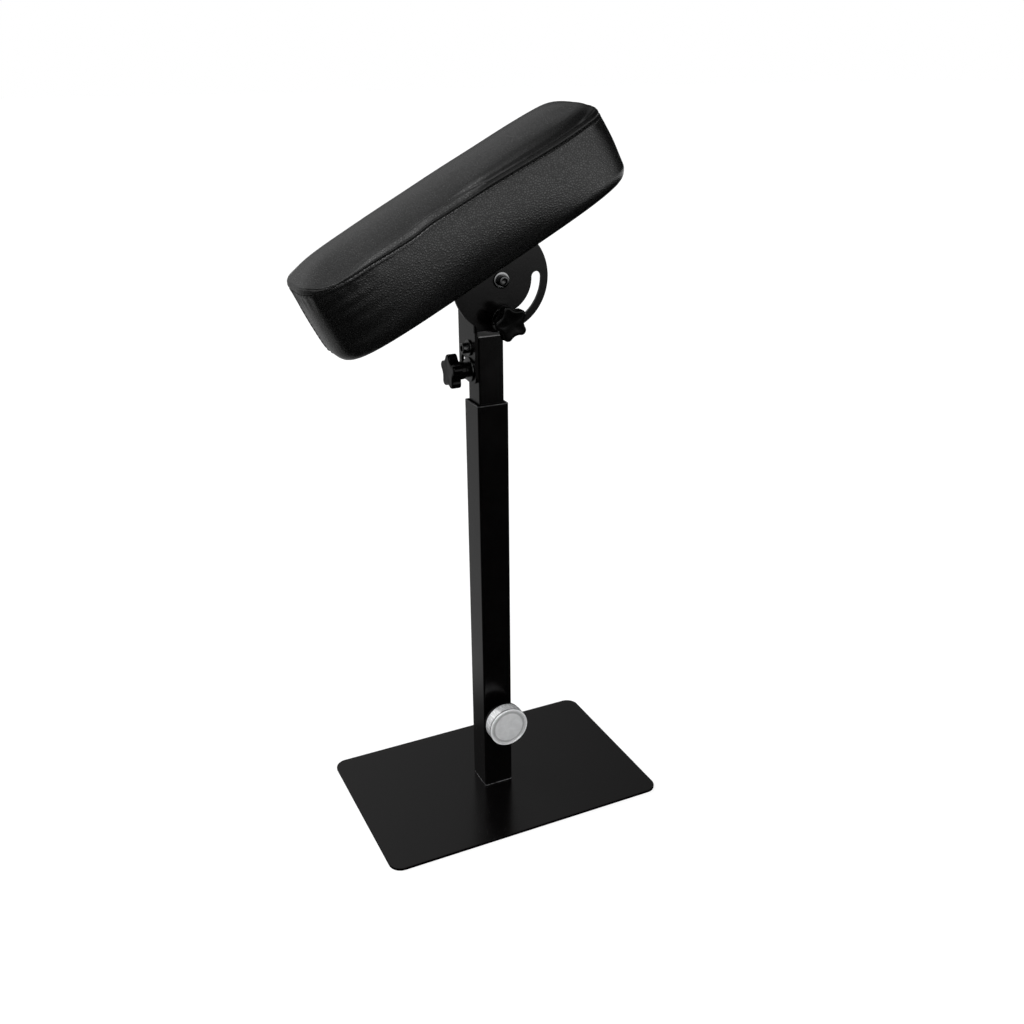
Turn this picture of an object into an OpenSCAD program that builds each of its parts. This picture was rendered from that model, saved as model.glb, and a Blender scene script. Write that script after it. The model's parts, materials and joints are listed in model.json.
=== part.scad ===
// Arm rest stand: a padded bar on a tilting head, on a sleeve that slides up a post on a flat plate.
// Millimetres. Origin at the centre of the plate's underside, +Z up, +X towards the raised end
// of the pad, -Y towards the front, where the clamp knob and the slotted plate are.

/* [Base plate] */
// Length of the base plate
base_l = 305; // [260:1:360]
// Width of the base plate
base_w = 198; // [170:1:240]
// Thickness of the base plate
base_t = 3; // [2:0.5:6]
// Corner radius of the base plate
base_corner_r = 13; // [5:1:40]

/* [Square tubes] */
// Outer side of the inner square tube, of which the post and the neck are cut
inner_side = 25.4; // [22:0.1:30]
// Wall of the inner square tube
inner_wall = 1.5; // [1.2:0.1:2.5]
// Outer corner radius of the inner square tube
inner_corner_r = 1.6; // [1.6:0.1:4]
// Wall of the sleeve tube
sleeve_wall = 1.5; // [1.2:0.1:2]
// Outer corner radius of the sleeve tube
sleeve_corner_r = 1.8; // [1.6:0.1:4]
// Length of the fixed post, which the sleeve covers
post_l = 350; // [280:1:420]
// Room between the cap on the post and the neck, with the sleeve down
stop_room = 8.3; // [4:0.1:20]
// Length of the neck that stands out of the sleeve
neck_out = 65.5; // [54:0.5:80]
// Length of the neck inside the sleeve
neck_in = 62; // [50:1:80]
// Wall of the slide bush between the post and the sleeve
bush_wall = 1.5; // [1.2:0.1:2.5]
// Length of the slide bush
bush_l = 25; // [15:1:40]

/* [Clamp knob] */
// Height of the clamp screw above the sleeve's lower end
clamp_rise = 88; // [60:1:120]
// Radius of the metal cap
cap_r = 21; // [16:0.5:26]
// Thickness of the metal cap
cap_t = 13; // [9:0.5:16]
// Width of the rim around the cap's face
cap_rim_w = 1.6; // [1:0.1:3]
// Depth of the cap's face below its rim
cap_face_depth = 0.8; // [0.4:0.1:1.4]
// Thickness of the grip ring behind the cap
grip_t = 3.5; // [2.5:0.5:8]
// Radius of the threaded boss on the sleeve
boss_r = 8; // [6.5:0.5:10]
// Length of the threaded boss
boss_l = 8; // [5:0.5:10]

/* [Star knobs] */
// Radius over the lobes
star_r = 16.5; // [14:0.5:20]
// Number of lobes
star_lobes = 5; // [5:1:8]
// Thickness of the lobed head
star_t = 9.5; // [7:0.5:12]
// Radius of the rounded lobes
lobe_r = 4.5; // [3.5:0.1:6]
// Depth of the hollows between the lobes
notch_depth = 4.2; // [3:0.1:5]
// Radius of the hub
hub_r = 8.5; // [6.5:0.5:10]
// Length of the hub
hub_l = 11.5; // [8:0.5:16]
// Thread of the star knobs and the clamp knob
thread_d = 8; // [6:0.1:8.5]
// Radius of the broad washer under a star knob
broad_washer_r = 11.5; // [10:0.5:14]

/* [Pivot bolts] */
// Thread of the two pivot bolts
bolt_d = 6; // [5:0.1:6.6]
// Radius of the socket cap head
bolt_head_r = 5; // [4.5:0.1:6]
// Height of the socket cap head
bolt_head_h = 6; // [4:0.1:7]
// Width across flats of the lock nut
nut_flats = 10; // [9:0.1:12]
// Height of the lock nut
nut_h = 6; // [5:0.1:8]
// Radius of the plain washers
washer_r = 7.5; // [6.5:0.1:9]
// Thickness of all washers
washer_t = 1.6; // [1:0.1:2]

/* [Head bracket] */
// Thickness of the bent head bracket
bracket_t = 3; // [2:0.1:4]
// Depth of the bracket's side leg, front to back
side_leg_d = 37.7; // [34:0.1:44]
// Distance of the side pivot bolt below the neck's top
side_bolt_drop = 12.3; // [10:0.1:14]
// Gap between the side pivot's washer and the side knob's washer below it
side_washer_gap = 1.5; // [0.5:0.1:5]
// Height of the front lock above the neck's top
lock_rise = 14.8; // [12.5:0.1:20]
// Offset of the main pivot to the right of the post's axis
pivot_x = 8.7; // [4:0.1:12]
// Side tilt towards the front
front_tilt = 12; // [5:1:12]
// Side tilt towards the back
back_tilt = 45; // [15:1:45]

/* [Tilt plate] */
// Thickness of the slotted tilt plate
plate_t = 2.5; // [2:0.1:4]
// Radius of the tilt plate
plate_r = 47.2; // [42:0.1:56]
// Width of the plate outside its arc slot
plate_rim = 7; // [5:0.1:9]
// Clearance of the front stud along the sides of the arc slot
plate_slot_gap = 0.8; // [0.5:0.1:1.2]
// Angle from the slot's middle to either end
slot_half_angle = 63; // [40:1:63]
// Room between the bracket's round end and the flange above it
flange_room = 2; // [1:0.1:5]
// Depth of the mounting flange behind the tilt plate
flange_d = 33; // [28:0.5:40]
// Half length of the mounting flange
flange_half_l = 46; // [42:0.5:60]
// Tilt of the pad as it stands
rest_tilt = 27.5; // [0:0.5:45]

/* [Pad] */
// Length of the pad along its seam
pad_l = 310; // [240:1:380]
// Width of the pad across its seam
pad_w = 100; // [90:1:140]
// Height from the underside to the top seam, in the middle
pad_h = 67; // [50:1:85]
// Fall of the top seam from the low end to the high end
seam_fall = 7.5; // [0:0.5:12]
// Rise of the crowned top over the seam, in the middle
pad_crown = 19; // [5:0.5:24]
// Gain of the crown from the low end to the high end
crown_gain = 9; // [0:0.5:10]
// How far the seam is drawn in from the fullest part of the sides
pad_draw_in = 1.5; // [0:0.1:5]
// Radius of the rolled lower edge
pad_roll_r = 13; // [6:0.5:16]
// Offset of the pad's middle along the board, towards the low end
pad_shift = 7; // [0:0.1:20]
// Thickness of the cover
cover_t = 1.2; // [0.8:0.1:2]
// Thickness of the plywood board
board_t = 12; // [9:0.5:18]
// Width of the cover turned under the board
turn_under = 13; // [9:0.5:14]

/* [Hidden] */

// Smoothness of true circles
$fn = 64;
// Overrun of every cut past the face that it leaves
over = 1;
// Radial clearance of a bolt or screw that turns in its hole
turn_gap = 0.05;
// Clearance of flat faces that slide or turn on each other
face_gap = 0.05;
// Clearance of a piece pressed or slipped into another
slip_gap = 0.05;
// Clearance of the post inside its slide bush and of the glide cap inside the sleeve
slide_gap = 0.1;
// Gap between the sleeve's lower end and the plate, and between a clamp pad and the post
rest_gap = 0.3;
// Clearance of a stud along the sides of its slot in the side leg
slot_gap = 0.4;
// Step between the sides of an arc slot and its rounded ends
slot_end_step = 0.05;

// Sleeve and post heights
sleeve_inner = inner_side + 2 * (slide_gap + bush_wall + slip_gap);
sleeve_side = sleeve_inner + 2 * sleeve_wall;
glide_h = 10;
glide_plug_l = 15;
sleeve_z = base_t + rest_gap;
sleeve_top = base_t + post_l + glide_h + stop_room + neck_in;
sleeve_l = sleeve_top - sleeve_z;
neck_top = sleeve_top + neck_out;
weld_leg = bush_wall - slip_gap;
bush_z = base_t + 2 * weld_leg;
liner_recess = 3;
liner_end = 12;
liner_l = neck_in - liner_recess - liner_end;

// Neck fittings
plug_lip_t = 1.2;
plug_gap = 0.6;
rivet_nut_flange_t = 1;
rivet_nut_flange_w = 2;
rivet_nut_wall = 1.5;
rivet_nut_l = 12;
plug_l = side_bolt_drop - plug_lip_t - bolt_d / 2 - rivet_nut_wall - plug_gap;
neck_screw_d = 5;
neck_screw_head_r = 4.5;
neck_screw_head_t = 2;
neck_screw_pitch = 26;
neck_screw_count = 2;

// Side pivot and side lock
leg_stand_off = 1;
side_bolt_z = neck_top - side_bolt_drop;
side_lock_r = washer_r + side_washer_gap + broad_washer_r;
side_lock_z = side_bolt_z - side_lock_r;
// Thread and height of the two rivet nuts: one for the pivot bolt, one for the lock's stud
rivet_nuts = [[bolt_d, side_bolt_z], [thread_d, side_lock_z]];
leg_x1 = -inner_side / 2 - rivet_nut_flange_t - face_gap;
leg_x0 = leg_x1 - bracket_t;
leg_y0 = -inner_side / 2 - leg_stand_off;
leg_y1 = leg_y0 + side_leg_d;
leg_edge = 12;
leg_z0 = side_lock_z - leg_edge;
leg_corner_r = 6;
tilt_margin = 1.5;

// Main pivot
slot_w = thread_d + 2 * plate_slot_gap;
slot_r = plate_r - plate_rim - slot_w / 2;
lock_z = neck_top + lock_rise;
pivot_z = lock_z + slot_r;
pivot_eye_r = 13;
front_leg_gap = 4.7;
front_leg_z0 = neck_top + front_leg_gap;
leg_top_drop = 21;
leg_z1 = pivot_z - leg_top_drop;
friction_t = 1;
friction_r = 12;
plate_y1 = leg_y0 - friction_t - face_gap;
plate_y0 = plate_y1 - plate_t;
front_leg_y1 = leg_y0 + bracket_t;
bend_r = bracket_t;
bolt_end_l = 2;
weld_nut_flats = 13;
weld_nut_h = 6.5;
stud_end_l = 1.2;
nut_collar_share = 0.3;
collar_width_share = 0.94;
socket_share = 0.5;
socket_flats_share = 0.83;
// Tangent point on the pivot's eye, seen from the side leg's top corner
eye_reach = norm([leg_x0 - pivot_x, leg_z1 - pivot_z]);
eye_angle = atan2(leg_z1 - pivot_z, leg_x0 - pivot_x) - acos(pivot_eye_r / eye_reach);

// Clamp knob
clamp_z = sleeve_z + clamp_rise;
boss_y = -sleeve_side / 2;
grip_hub_r = 10;
grip_hub_l = 3;
clamp_gap = 0.4;
grip_y1 = boss_y - boss_l - clamp_gap;
grip_y0 = grip_y1 - grip_hub_l - grip_t;
cap_y0 = grip_y0 - cap_t;
grip_inset = 0.4;
grip_r = cap_r - grip_inset;
grip_grooves = 40;
grip_groove_r = 0.5;
clamp_pad_l = 3;
clamp_pad_y1 = -inner_side / 2 - rest_gap;
screw_in_cap = 5;
face_disc_t = 0.6;
cap_edge_r = 0.6;
cap_groove_at = 2.6;
cap_groove_w = 0.6;
cap_groove_depth = 0.4;

// Star knob head
star_dome = 1;
stud_in_head = 4;
side_star_turn = 0;
front_star_turn = 38;

// Mounting flange and its screws
flange_t = plate_t;
pad_rise = pivot_eye_r + flange_room + flange_t;
board_screw_d = 6;
board_screw_head_r = 5;
board_screw_head_h = 3;
board_screw_inset_x = 7;
board_screw_inset_y = 7.5;
board_screw_x = flange_half_l - board_screw_inset_x;
board_screw_gap_y = flange_d - 2 * board_screw_inset_y;
board_screw_y = plate_y1 + flange_d / 2;
tee_gap = 1;
tee_flange_r = (board_screw_gap_y - tee_gap) / 2;
tee_flange_t = 1.5;
tee_barrel_r = 4;
tee_barrel_l = 8;

// Pad form: a squarish oval in plan, as rings of points
pad_steps = 48;
pad_squareness = 4.2;
crown_power = 3.2;
fullest_share = 0.35;
top_inset_shares = [0, 0.05, 0.14, 0.3, 0.5, 0.74, 0.93];
side_height_shares = [0.86, 0.62, 0.38];
roll_steps = 3;
board_inset = pad_roll_r - pad_draw_in + cover_t;
cloth_gap = 0.2;
side_staples = 9;
end_staples = 2;
side_row_share = 0.62;
end_row_share = 0.19;
staple_w = 10;
staple_t = 0.6;
staple_leg = 5;

// Plans and small shared shapes

module rounded_plan(l, w, r) {
    square([l - 2 * r, w], center = true);
    square([l, w - 2 * r], center = true);
    for (sx = [-1, 1], sy = [-1, 1])
        translate([sx * (l / 2 - r), sy * (w / 2 - r)]) circle(r);
}

module square_tube(side, wall, corner_r, length) {
    linear_extrude(length) difference() {
        rounded_plan(side, side, corner_r);
        rounded_plan(side - 2 * wall, side - 2 * wall, max(corner_r - wall, wall / 4));
    }
}

// Points a child's +Z along -X, +X, -Y or +Y
module towards_left() rotate([0, -90, 0]) children();
module towards_right() rotate([0, 90, 0]) children();
module towards_front() rotate([90, 0, 0]) children();
module towards_back() rotate([-90, 0, 0]) children();

module washer(outer_r, hole_r, thickness) {
    difference() {
        cylinder(r = outer_r, h = thickness);
        translate([0, 0, -over]) cylinder(r = hole_r, h = thickness + 2 * over);
    }
}

// Head at z = 0 and above, shank below
module socket_screw(d, head_r, head_h, shank_l) {
    socket_flats = d * socket_flats_share;
    difference() {
        union() {
            cylinder(r = head_r, h = head_h);
            translate([0, 0, -shank_l]) cylinder(d = d, h = shank_l);
        }
        translate([0, 0, head_h * (1 - socket_share)])
            cylinder(d = socket_flats / cos(30), h = head_h, $fn = 6);
    }
}

// Hexagon with a round collar on top, on a bore
module lock_nut(flats, height, bore_r) {
    collar_h = height * nut_collar_share;
    difference() {
        union() {
            cylinder(d = flats / cos(30), h = height - collar_h, $fn = 6);
            cylinder(d = flats * collar_width_share, h = height);
        }
        translate([0, 0, -over]) cylinder(r = bore_r, h = height + 2 * over);
    }
}

// Outline of round lobes joined by round hollows that meet them smoothly
module star_plan() {
    half = 180 / star_lobes;
    lobe_c = star_r - lobe_r;
    notch_r = star_r - notch_depth;
    reach = lobe_c * cos(half);
    hollow_r = (pow(notch_r, 2) + pow(lobe_c, 2) - pow(lobe_r, 2) - 2 * notch_r * reach)
        / (2 * (lobe_r + reach - notch_r));
    hollow_c = notch_r + hollow_r;
    meet = atan2(hollow_c * sin(half), hollow_c * cos(half) - lobe_c);
    difference() {
        union() {
            for (i = [0:star_lobes - 1]) rotate(2 * half * i) translate([lobe_c, 0]) circle(lobe_r);
            polygon([
                for (i = [0:star_lobes - 1], s = [-1, 1])
                    let (x = lobe_c + lobe_r * cos(meet), y = s * lobe_r * sin(meet), a = 2 * half * i)
                    [x * cos(a) - y * sin(a), x * sin(a) + y * cos(a)]
            ]);
        }
        for (i = [0:star_lobes - 1]) rotate(half * (2 * i + 1)) translate([hollow_c, 0]) circle(hollow_r);
    }
}

// Lobed grip on a round hub, standing on z = 0 and pointing up
module star_knob() {
    difference() {
        union() {
            cylinder(r = hub_r, h = hub_l);
            translate([0, 0, hub_l]) linear_extrude(star_t) star_plan();
        }
        translate([0, 0, -over]) cylinder(r = thread_d / 2 + slip_gap, h = hub_l + stud_in_head + over);
        star_edge_cut();
    }
}

// Bevel around the front of the grip
module star_edge_cut() {
    translate([0, 0, hub_l + star_t - star_dome]) difference() {
        cylinder(r = star_r + over, h = star_dome + over);
        translate([0, 0, -over]) cylinder(
            r1 = star_r + over, r2 = star_r - star_dome - over, h = star_dome + 2 * over
        );
    }
}

module stud(length) cylinder(d = thread_d, h = length);

// Base plate and post

module base_plate() {
    color("#2b2a2b") linear_extrude(base_t) rounded_plan(base_l, base_w, base_corner_r);
}

module base_post() {
    color("#232224") translate([0, 0, base_t])
        square_tube(inner_side, inner_wall, inner_corner_r, post_l);
}

// Fillet weld of four straight beads around the post
module foot_weld() {
    color("#1d1c1d") translate([0, 0, base_t]) for (a = [0:90:270]) rotate(a)
        translate([0, inner_side / 2, 0]) rotate([90, 0, 90])
            linear_extrude(inner_side - 2 * inner_corner_r, center = true)
                polygon([[0, 0], [weld_leg, 0], [0, weld_leg]]);
}

// Plastic plug in the post with a collar that glides in the sleeve
module post_glide_cap() {
    plug_side = inner_side - 2 * inner_wall - 2 * slip_gap;
    collar_side = sleeve_inner - 2 * slide_gap;
    color("#3b3b3d") translate([0, 0, base_t + post_l]) {
        linear_extrude(glide_h) rounded_plan(collar_side, collar_side, inner_corner_r);
        translate([0, 0, -glide_plug_l]) linear_extrude(glide_plug_l + glide_h / 2)
            rounded_plan(plug_side, plug_side, max(inner_corner_r - inner_wall, inner_wall / 4));
    }
}

// Sleeve and what is fixed in it

module sleeve_tube() {
    color("#242324") difference() {
        translate([0, 0, sleeve_z]) square_tube(sleeve_side, sleeve_wall, sleeve_corner_r, sleeve_l);
        translate([0, boss_y + sleeve_wall + over, clamp_z])
            towards_front() cylinder(r = thread_d / 2 + turn_gap, h = sleeve_wall + 2 * over);
        neck_screw_places() translate([0, 0, -inner_side / 2])
            cylinder(r = neck_screw_d / 2 + slip_gap, h = inner_side);
    }
}

module clamp_boss() {
    color("#232224") translate([0, boss_y, clamp_z])
        towards_front() washer(boss_r, thread_d / 2 + turn_gap, boss_l);
}

module slide_bush() {
    color("#3b3b3d") translate([0, 0, bush_z]) square_tube(
        sleeve_inner - 2 * slip_gap, bush_wall, max(sleeve_corner_r - sleeve_wall, inner_corner_r), bush_l
    );
}

module neck_liner() {
    color("#2c2c2e") difference() {
        translate([0, 0, sleeve_top - liner_recess - liner_l]) square_tube(
            sleeve_inner - 2 * slip_gap, bush_wall + slide_gap - slip_gap, inner_corner_r, liner_l
        );
        neck_screw_places() translate([0, 0, -inner_side / 2])
            cylinder(r = neck_screw_d / 2 + slip_gap, h = inner_side);
    }
}

// Puts children on the sleeve's back face, +Z pointing out
module neck_screw_places() {
    for (i = [0:neck_screw_count - 1])
        translate([0, sleeve_side / 2, sleeve_top - liner_recess - liner_l / 2
                   + (i - (neck_screw_count - 1) / 2) * neck_screw_pitch])
            towards_back() children();
}

module neck_screws() {
    shank = (sleeve_side - inner_side) / 2 + 2 * inner_wall;
    color("#6a6a6c") neck_screw_places()
        socket_screw(neck_screw_d, neck_screw_head_r, neck_screw_head_t, shank);
}

module neck_tube() {
    color("#242324") difference() {
        translate([0, 0, sleeve_top - neck_in])
            square_tube(inner_side, inner_wall, inner_corner_r, neck_in + neck_out - plug_lip_t);
        neck_screw_places() translate([0, 0, -inner_side / 2])
            cylinder(r = neck_screw_d / 2 + slip_gap, h = inner_side / 2 + over);
        for (n = rivet_nuts) translate([-inner_side, 0, n[1]])
            towards_right() cylinder(r = n[0] / 2 + rivet_nut_wall + slip_gap, h = inner_side);
    }
}

module neck_plug() {
    plug_side = inner_side - 2 * inner_wall - 2 * slip_gap;
    color("#8c8c8c") translate([0, 0, neck_top - plug_lip_t]) {
        linear_extrude(plug_lip_t) rounded_plan(inner_side, inner_side, inner_corner_r);
        translate([0, 0, -plug_l]) linear_extrude(plug_l + plug_lip_t / 2)
            rounded_plan(plug_side, plug_side, max(inner_corner_r - inner_wall, inner_wall / 4));
    }
}

// Threaded inserts in the neck's left wall, whose flanges space the bracket off it
module neck_rivet_nuts() {
    color("#b9b9ba") for (n = rivet_nuts) translate([-inner_side / 2, 0, n[1]])
        difference() {
            union() {
                towards_left() cylinder(
                    r = n[0] / 2 + rivet_nut_wall + rivet_nut_flange_w, h = rivet_nut_flange_t
                );
                towards_right() cylinder(r = n[0] / 2 + rivet_nut_wall, h = rivet_nut_l);
            }
            translate([-rivet_nut_flange_t - over, 0, 0]) towards_right()
                cylinder(r = n[0] / 2 + turn_gap, h = rivet_nut_l + rivet_nut_flange_t + 2 * over);
        }
}

// Side pivot, through the bracket's side leg into the neck

module side_pivot_bolt() {
    head_x = leg_x0 - face_gap - washer_t;
    color("#8f9092") translate([head_x, 0, side_bolt_z]) towards_left()
        socket_screw(bolt_d, bolt_head_r, bolt_head_h, rivet_nut_l - inner_side / 2 - head_x);
}

module side_washer() {
    color("#a8a9ab") translate([leg_x0 - face_gap, 0, side_bolt_z])
        towards_left() washer(washer_r, bolt_d / 2 + slip_gap, washer_t);
}

// Clamp knob on the sleeve's front

module clamp_pad() {
    color("#3b3b3d") translate([0, clamp_pad_y1, clamp_z])
        towards_front() cylinder(r = thread_d / 2 - turn_gap, h = clamp_pad_l);
}

module clamp_screw() {
    screw_l = clamp_pad_y1 - clamp_pad_l - grip_y0 + screw_in_cap;
    color("#8f9092") translate([0, clamp_pad_y1 - clamp_pad_l, clamp_z])
        towards_front() cylinder(d = thread_d, h = screw_l);
}

module clamp_grip_ring() {
    color("#1c1b1c") translate([0, grip_y1, clamp_z]) towards_front() difference() {
        union() {
            cylinder(r = grip_hub_r, h = grip_hub_l);
            translate([0, 0, grip_hub_l]) cylinder(r = grip_r, h = grip_t);
        }
        translate([0, 0, -over])
            cylinder(r = thread_d / 2 + slip_gap, h = grip_hub_l + grip_t + 2 * over);
        for (i = [0:grip_grooves - 1]) rotate(i * 360 / grip_grooves)
            translate([grip_r, 0, grip_hub_l + grip_t / 4])
                cylinder(r = grip_groove_r, h = grip_t / 2, $fn = 8);
    }
}

module clamp_cap() {
    color("#b7bcbd") translate([0, grip_y0, clamp_z]) towards_front() difference() {
        rotate_extrude() polygon([
            [0, 0], [cap_r, 0], [cap_r, cap_t - cap_groove_at - cap_groove_w],
            [cap_r - cap_groove_depth, cap_t - cap_groove_at - cap_groove_w / 2],
            [cap_r, cap_t - cap_groove_at], [cap_r, cap_t - cap_edge_r], [cap_r - cap_edge_r, cap_t],
            [cap_r - cap_rim_w, cap_t], [cap_r - cap_rim_w, cap_t - cap_face_depth - face_disc_t],
            [0, cap_t - cap_face_depth - face_disc_t]
        ]);
        translate([0, 0, -over]) cylinder(r = thread_d / 2 + slip_gap, h = screw_in_cap + over);
    }
}

// Plain disc let into the cap's face
module clamp_face_disc() {
    color("#d2d6d6") translate([0, cap_y0 + cap_face_depth + face_disc_t, clamp_z])
        towards_front() cylinder(r = cap_r - cap_rim_w - slip_gap, h = face_disc_t);
}

// Side lock, through the side leg's slot into the neck

module side_knob_washer() {
    color("#a8a9ab") translate([leg_x0 - face_gap, 0, side_lock_z])
        towards_left() washer(broad_washer_r, thread_d / 2 + turn_gap, washer_t);
}

module side_knob_stud() {
    inner_x = rivet_nut_l - inner_side / 2;
    color("#8f9092") translate([inner_x, 0, side_lock_z])
        towards_left() stud(inner_x - leg_x0 + face_gap + washer_t + hub_l + stud_in_head);
}

module side_star_knob() {
    color("#1b1a1b") translate([leg_x0 - face_gap - washer_t, 0, side_lock_z])
        towards_left() rotate(side_star_turn) star_knob();
}

// Head bracket, bent from one plate: a side leg beside the neck and a front leg above it

module head_bracket() {
    color("#2a292a") difference() {
        union() {
            side_leg();
            front_leg();
        }
        bend_cut();
        translate([leg_x0 - over, 0, side_bolt_z])
            towards_right() cylinder(r = bolt_d / 2 + turn_gap, h = bracket_t + 2 * over);
        translate([leg_x0 - over, 0, side_bolt_z]) towards_right() rotate((back_tilt - front_tilt) / 2)
            arc_slot(side_lock_r, thread_d + 2 * slot_gap, (back_tilt + front_tilt) / 2 + tilt_margin,
                     bracket_t + 2 * over);
        translate([pivot_x, front_leg_y1 + over, pivot_z])
            towards_front() cylinder(r = bolt_d / 2 + slip_gap, h = bracket_t + 2 * over);
        translate([pivot_x, front_leg_y1 + over, lock_z])
            towards_front() cylinder(r = thread_d / 2 + turn_gap, h = bracket_t + 2 * over);
    }
}

module side_leg() {
    leg_mid = (leg_y0 + leg_y1) / 2;
    translate([leg_x0, leg_mid, (leg_z0 + leg_z1) / 2]) rotate([90, 0, 90]) linear_extrude(bracket_t)
        rounded_plan(side_leg_d, leg_z1 - leg_z0, leg_corner_r);
    translate([leg_x0, leg_y0, front_leg_z0]) cube([bracket_t, leg_corner_r, leg_z1 - front_leg_z0]);
}

module front_leg() {
    translate([0, front_leg_y1, 0]) towards_front() linear_extrude(bracket_t) {
        translate([pivot_x, pivot_z]) circle(pivot_eye_r);
        polygon([
            [leg_x0, front_leg_z0], [pivot_x + pivot_eye_r, front_leg_z0],
            [pivot_x + pivot_eye_r, pivot_z], [pivot_x, pivot_z],
            [pivot_x + pivot_eye_r * cos(eye_angle), pivot_z + pivot_eye_r * sin(eye_angle)],
            [leg_x0, leg_z1]
        ]);
    }
}

// Round outer edge of the bend, over the height where both legs meet
module bend_cut() {
    translate([leg_x0 - over, leg_y0 - over, front_leg_z0 - over]) difference() {
        cube([bend_r + over, bend_r + over, leg_z1 - front_leg_z0 + 2 * over]);
        translate([bend_r + over, bend_r + over, -over])
            cylinder(r = bend_r, h = leg_z1 - front_leg_z0 + 4 * over);
    }
}

// Arc slot about the child's origin, its middle towards +X, pointing up from z = 0
module arc_slot(r, w, half_angle, depth) {
    far = 2 * r;
    linear_extrude(depth) {
        intersection() {
            difference() {
                circle(r + w / 2);
                circle(r - w / 2);
            }
            polygon([
                [0, 0], [far * cos(half_angle), -far * sin(half_angle)], [far, -far * tan(half_angle / 2)],
                [far, far * tan(half_angle / 2)], [far * cos(half_angle), far * sin(half_angle)]
            ]);
        }
        for (s = [-1, 1]) rotate(s * half_angle) translate([r, 0]) circle(w / 2 - slot_end_step);
    }
}

module bracket_weld_nut() {
    color("#8f9092") translate([pivot_x, front_leg_y1, lock_z]) towards_back() difference() {
        cylinder(d = weld_nut_flats / cos(30), h = weld_nut_h, $fn = 6);
        translate([0, 0, -over]) cylinder(r = thread_d / 2 + turn_gap, h = weld_nut_h + 2 * over);
    }
}

module friction_washer() {
    color("#3b3b3d") translate([pivot_x, leg_y0, pivot_z])
        towards_front() washer(friction_r, bolt_d / 2 + slip_gap, friction_t);
}

// Main pivot, through the tilt plate and the front leg

module main_pivot_bolt() {
    shank = front_leg_y1 + 2 * washer_t + nut_h + bolt_end_l + face_gap - plate_y0;
    color("#c4c5c7") translate([pivot_x, plate_y0 - face_gap - washer_t, pivot_z])
        towards_front() socket_screw(bolt_d, bolt_head_r, bolt_head_h, shank);
}

module main_washers() {
    color("#c4c5c7") {
        translate([pivot_x, plate_y0 - face_gap, pivot_z])
            towards_front() washer(washer_r, bolt_d / 2 + slip_gap, washer_t);
        translate([pivot_x, front_leg_y1, pivot_z])
            towards_back() washer(washer_r, bolt_d / 2 + slip_gap, washer_t);
    }
}

module main_lock_nut() {
    color("#8f9092") translate([pivot_x, front_leg_y1 + washer_t, pivot_z])
        towards_back() lock_nut(nut_flats, nut_h, bolt_d / 2 + slip_gap);
}

// Front lock, through the tilt plate's slot into the weld nut

module front_knob_washer() {
    color("#a8a9ab") translate([pivot_x, plate_y0 - face_gap, lock_z])
        towards_front() washer(broad_washer_r - washer_t, thread_d / 2 + turn_gap, washer_t);
}

module front_knob_stud() {
    nut_end = front_leg_y1 + weld_nut_h + stud_end_l;
    color("#8f9092") translate([pivot_x, nut_end, lock_z])
        towards_front() stud(nut_end - plate_y0 + face_gap + washer_t + hub_l + stud_in_head);
}

module front_star_knob() {
    color("#1b1a1b") translate([pivot_x, plate_y0 - face_gap - washer_t, lock_z])
        towards_front() rotate(front_star_turn) star_knob();
}

// Everything that tilts with the pad is drawn level, with the main pivot at the origin

module at_tilt() {
    translate([pivot_x, 0, pivot_z]) rotate([0, -rest_tilt, 0]) children();
}

module tilt_plate() {
    color("#1f1d1f") at_tilt() difference() {
        union() {
            translate([0, plate_y1, 0]) towards_front() linear_extrude(plate_t) intersection() {
                circle(plate_r, $fn = 128);
                translate([-plate_r, -plate_r - over])
                    square([2 * plate_r, plate_r + over + pad_rise - flange_t / 2]);
            }
            translate([-flange_half_l, plate_y0, pad_rise - flange_t])
                cube([2 * flange_half_l, plate_t + flange_d, flange_t]);
        }
        translate([0, plate_y1 + over, 0])
            towards_front() cylinder(r = bolt_d / 2 + turn_gap, h = plate_t + 2 * over);
        translate([0, plate_y1 + over, 0]) towards_front() rotate(-90)
            arc_slot(slot_r, slot_w, slot_half_angle, plate_t + 2 * over);
        board_screw_places() translate([0, 0, -over])
            cylinder(r = board_screw_d / 2 + slip_gap, h = flange_t + 2 * over);
    }
}

// Puts children at the flange's underside under each board screw
module board_screw_places() {
    for (sx = [-1, 1], sy = [-1, 1])
        translate([sx * board_screw_x, board_screw_y + sy * board_screw_gap_y / 2, pad_rise - flange_t])
            children();
}

module board_screws() {
    color("#8f9092") at_tilt() board_screw_places() rotate([180, 0, 0])
        socket_screw(board_screw_d, board_screw_head_r, board_screw_head_h, flange_t + cover_t + board_t);
}

module board_tee_nuts() {
    top = flange_t + cover_t + board_t;
    color("#b9b9ba") at_tilt() board_screw_places() difference() {
        union() {
            translate([0, 0, top - tee_flange_t]) cylinder(r = tee_flange_r, h = tee_flange_t);
            translate([0, 0, top - tee_barrel_l]) cylinder(r = tee_barrel_r, h = tee_barrel_l);
        }
        translate([0, 0, -over]) cylinder(r = board_screw_d / 2 + slip_gap, h = top + 2 * over);
    }
}

// Pad pieces, drawn level with the pad's underside at z = 0 and its middle at x = 0

module at_pad() at_tilt() translate([-pad_shift, 0, pad_rise]) children();

// Reach of the squarish oval in the direction a, as a share of the rectangle around it
function oval_share(a) =
    pow(pow(abs(cos(a)), pad_squareness) + pow(abs(sin(a)), pad_squareness), -1 / pad_squareness);

function pad_plan(inset) = [
    for (i = [0:pad_steps - 1])
        let (a = i * 360 / pad_steps, k = oval_share(a))
        [(pad_l / 2 - inset) * k * cos(a), (pad_w / 2 - inset) * k * sin(a)]
];

function seam_z(x) = pad_h - seam_fall * x / pad_l;

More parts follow.
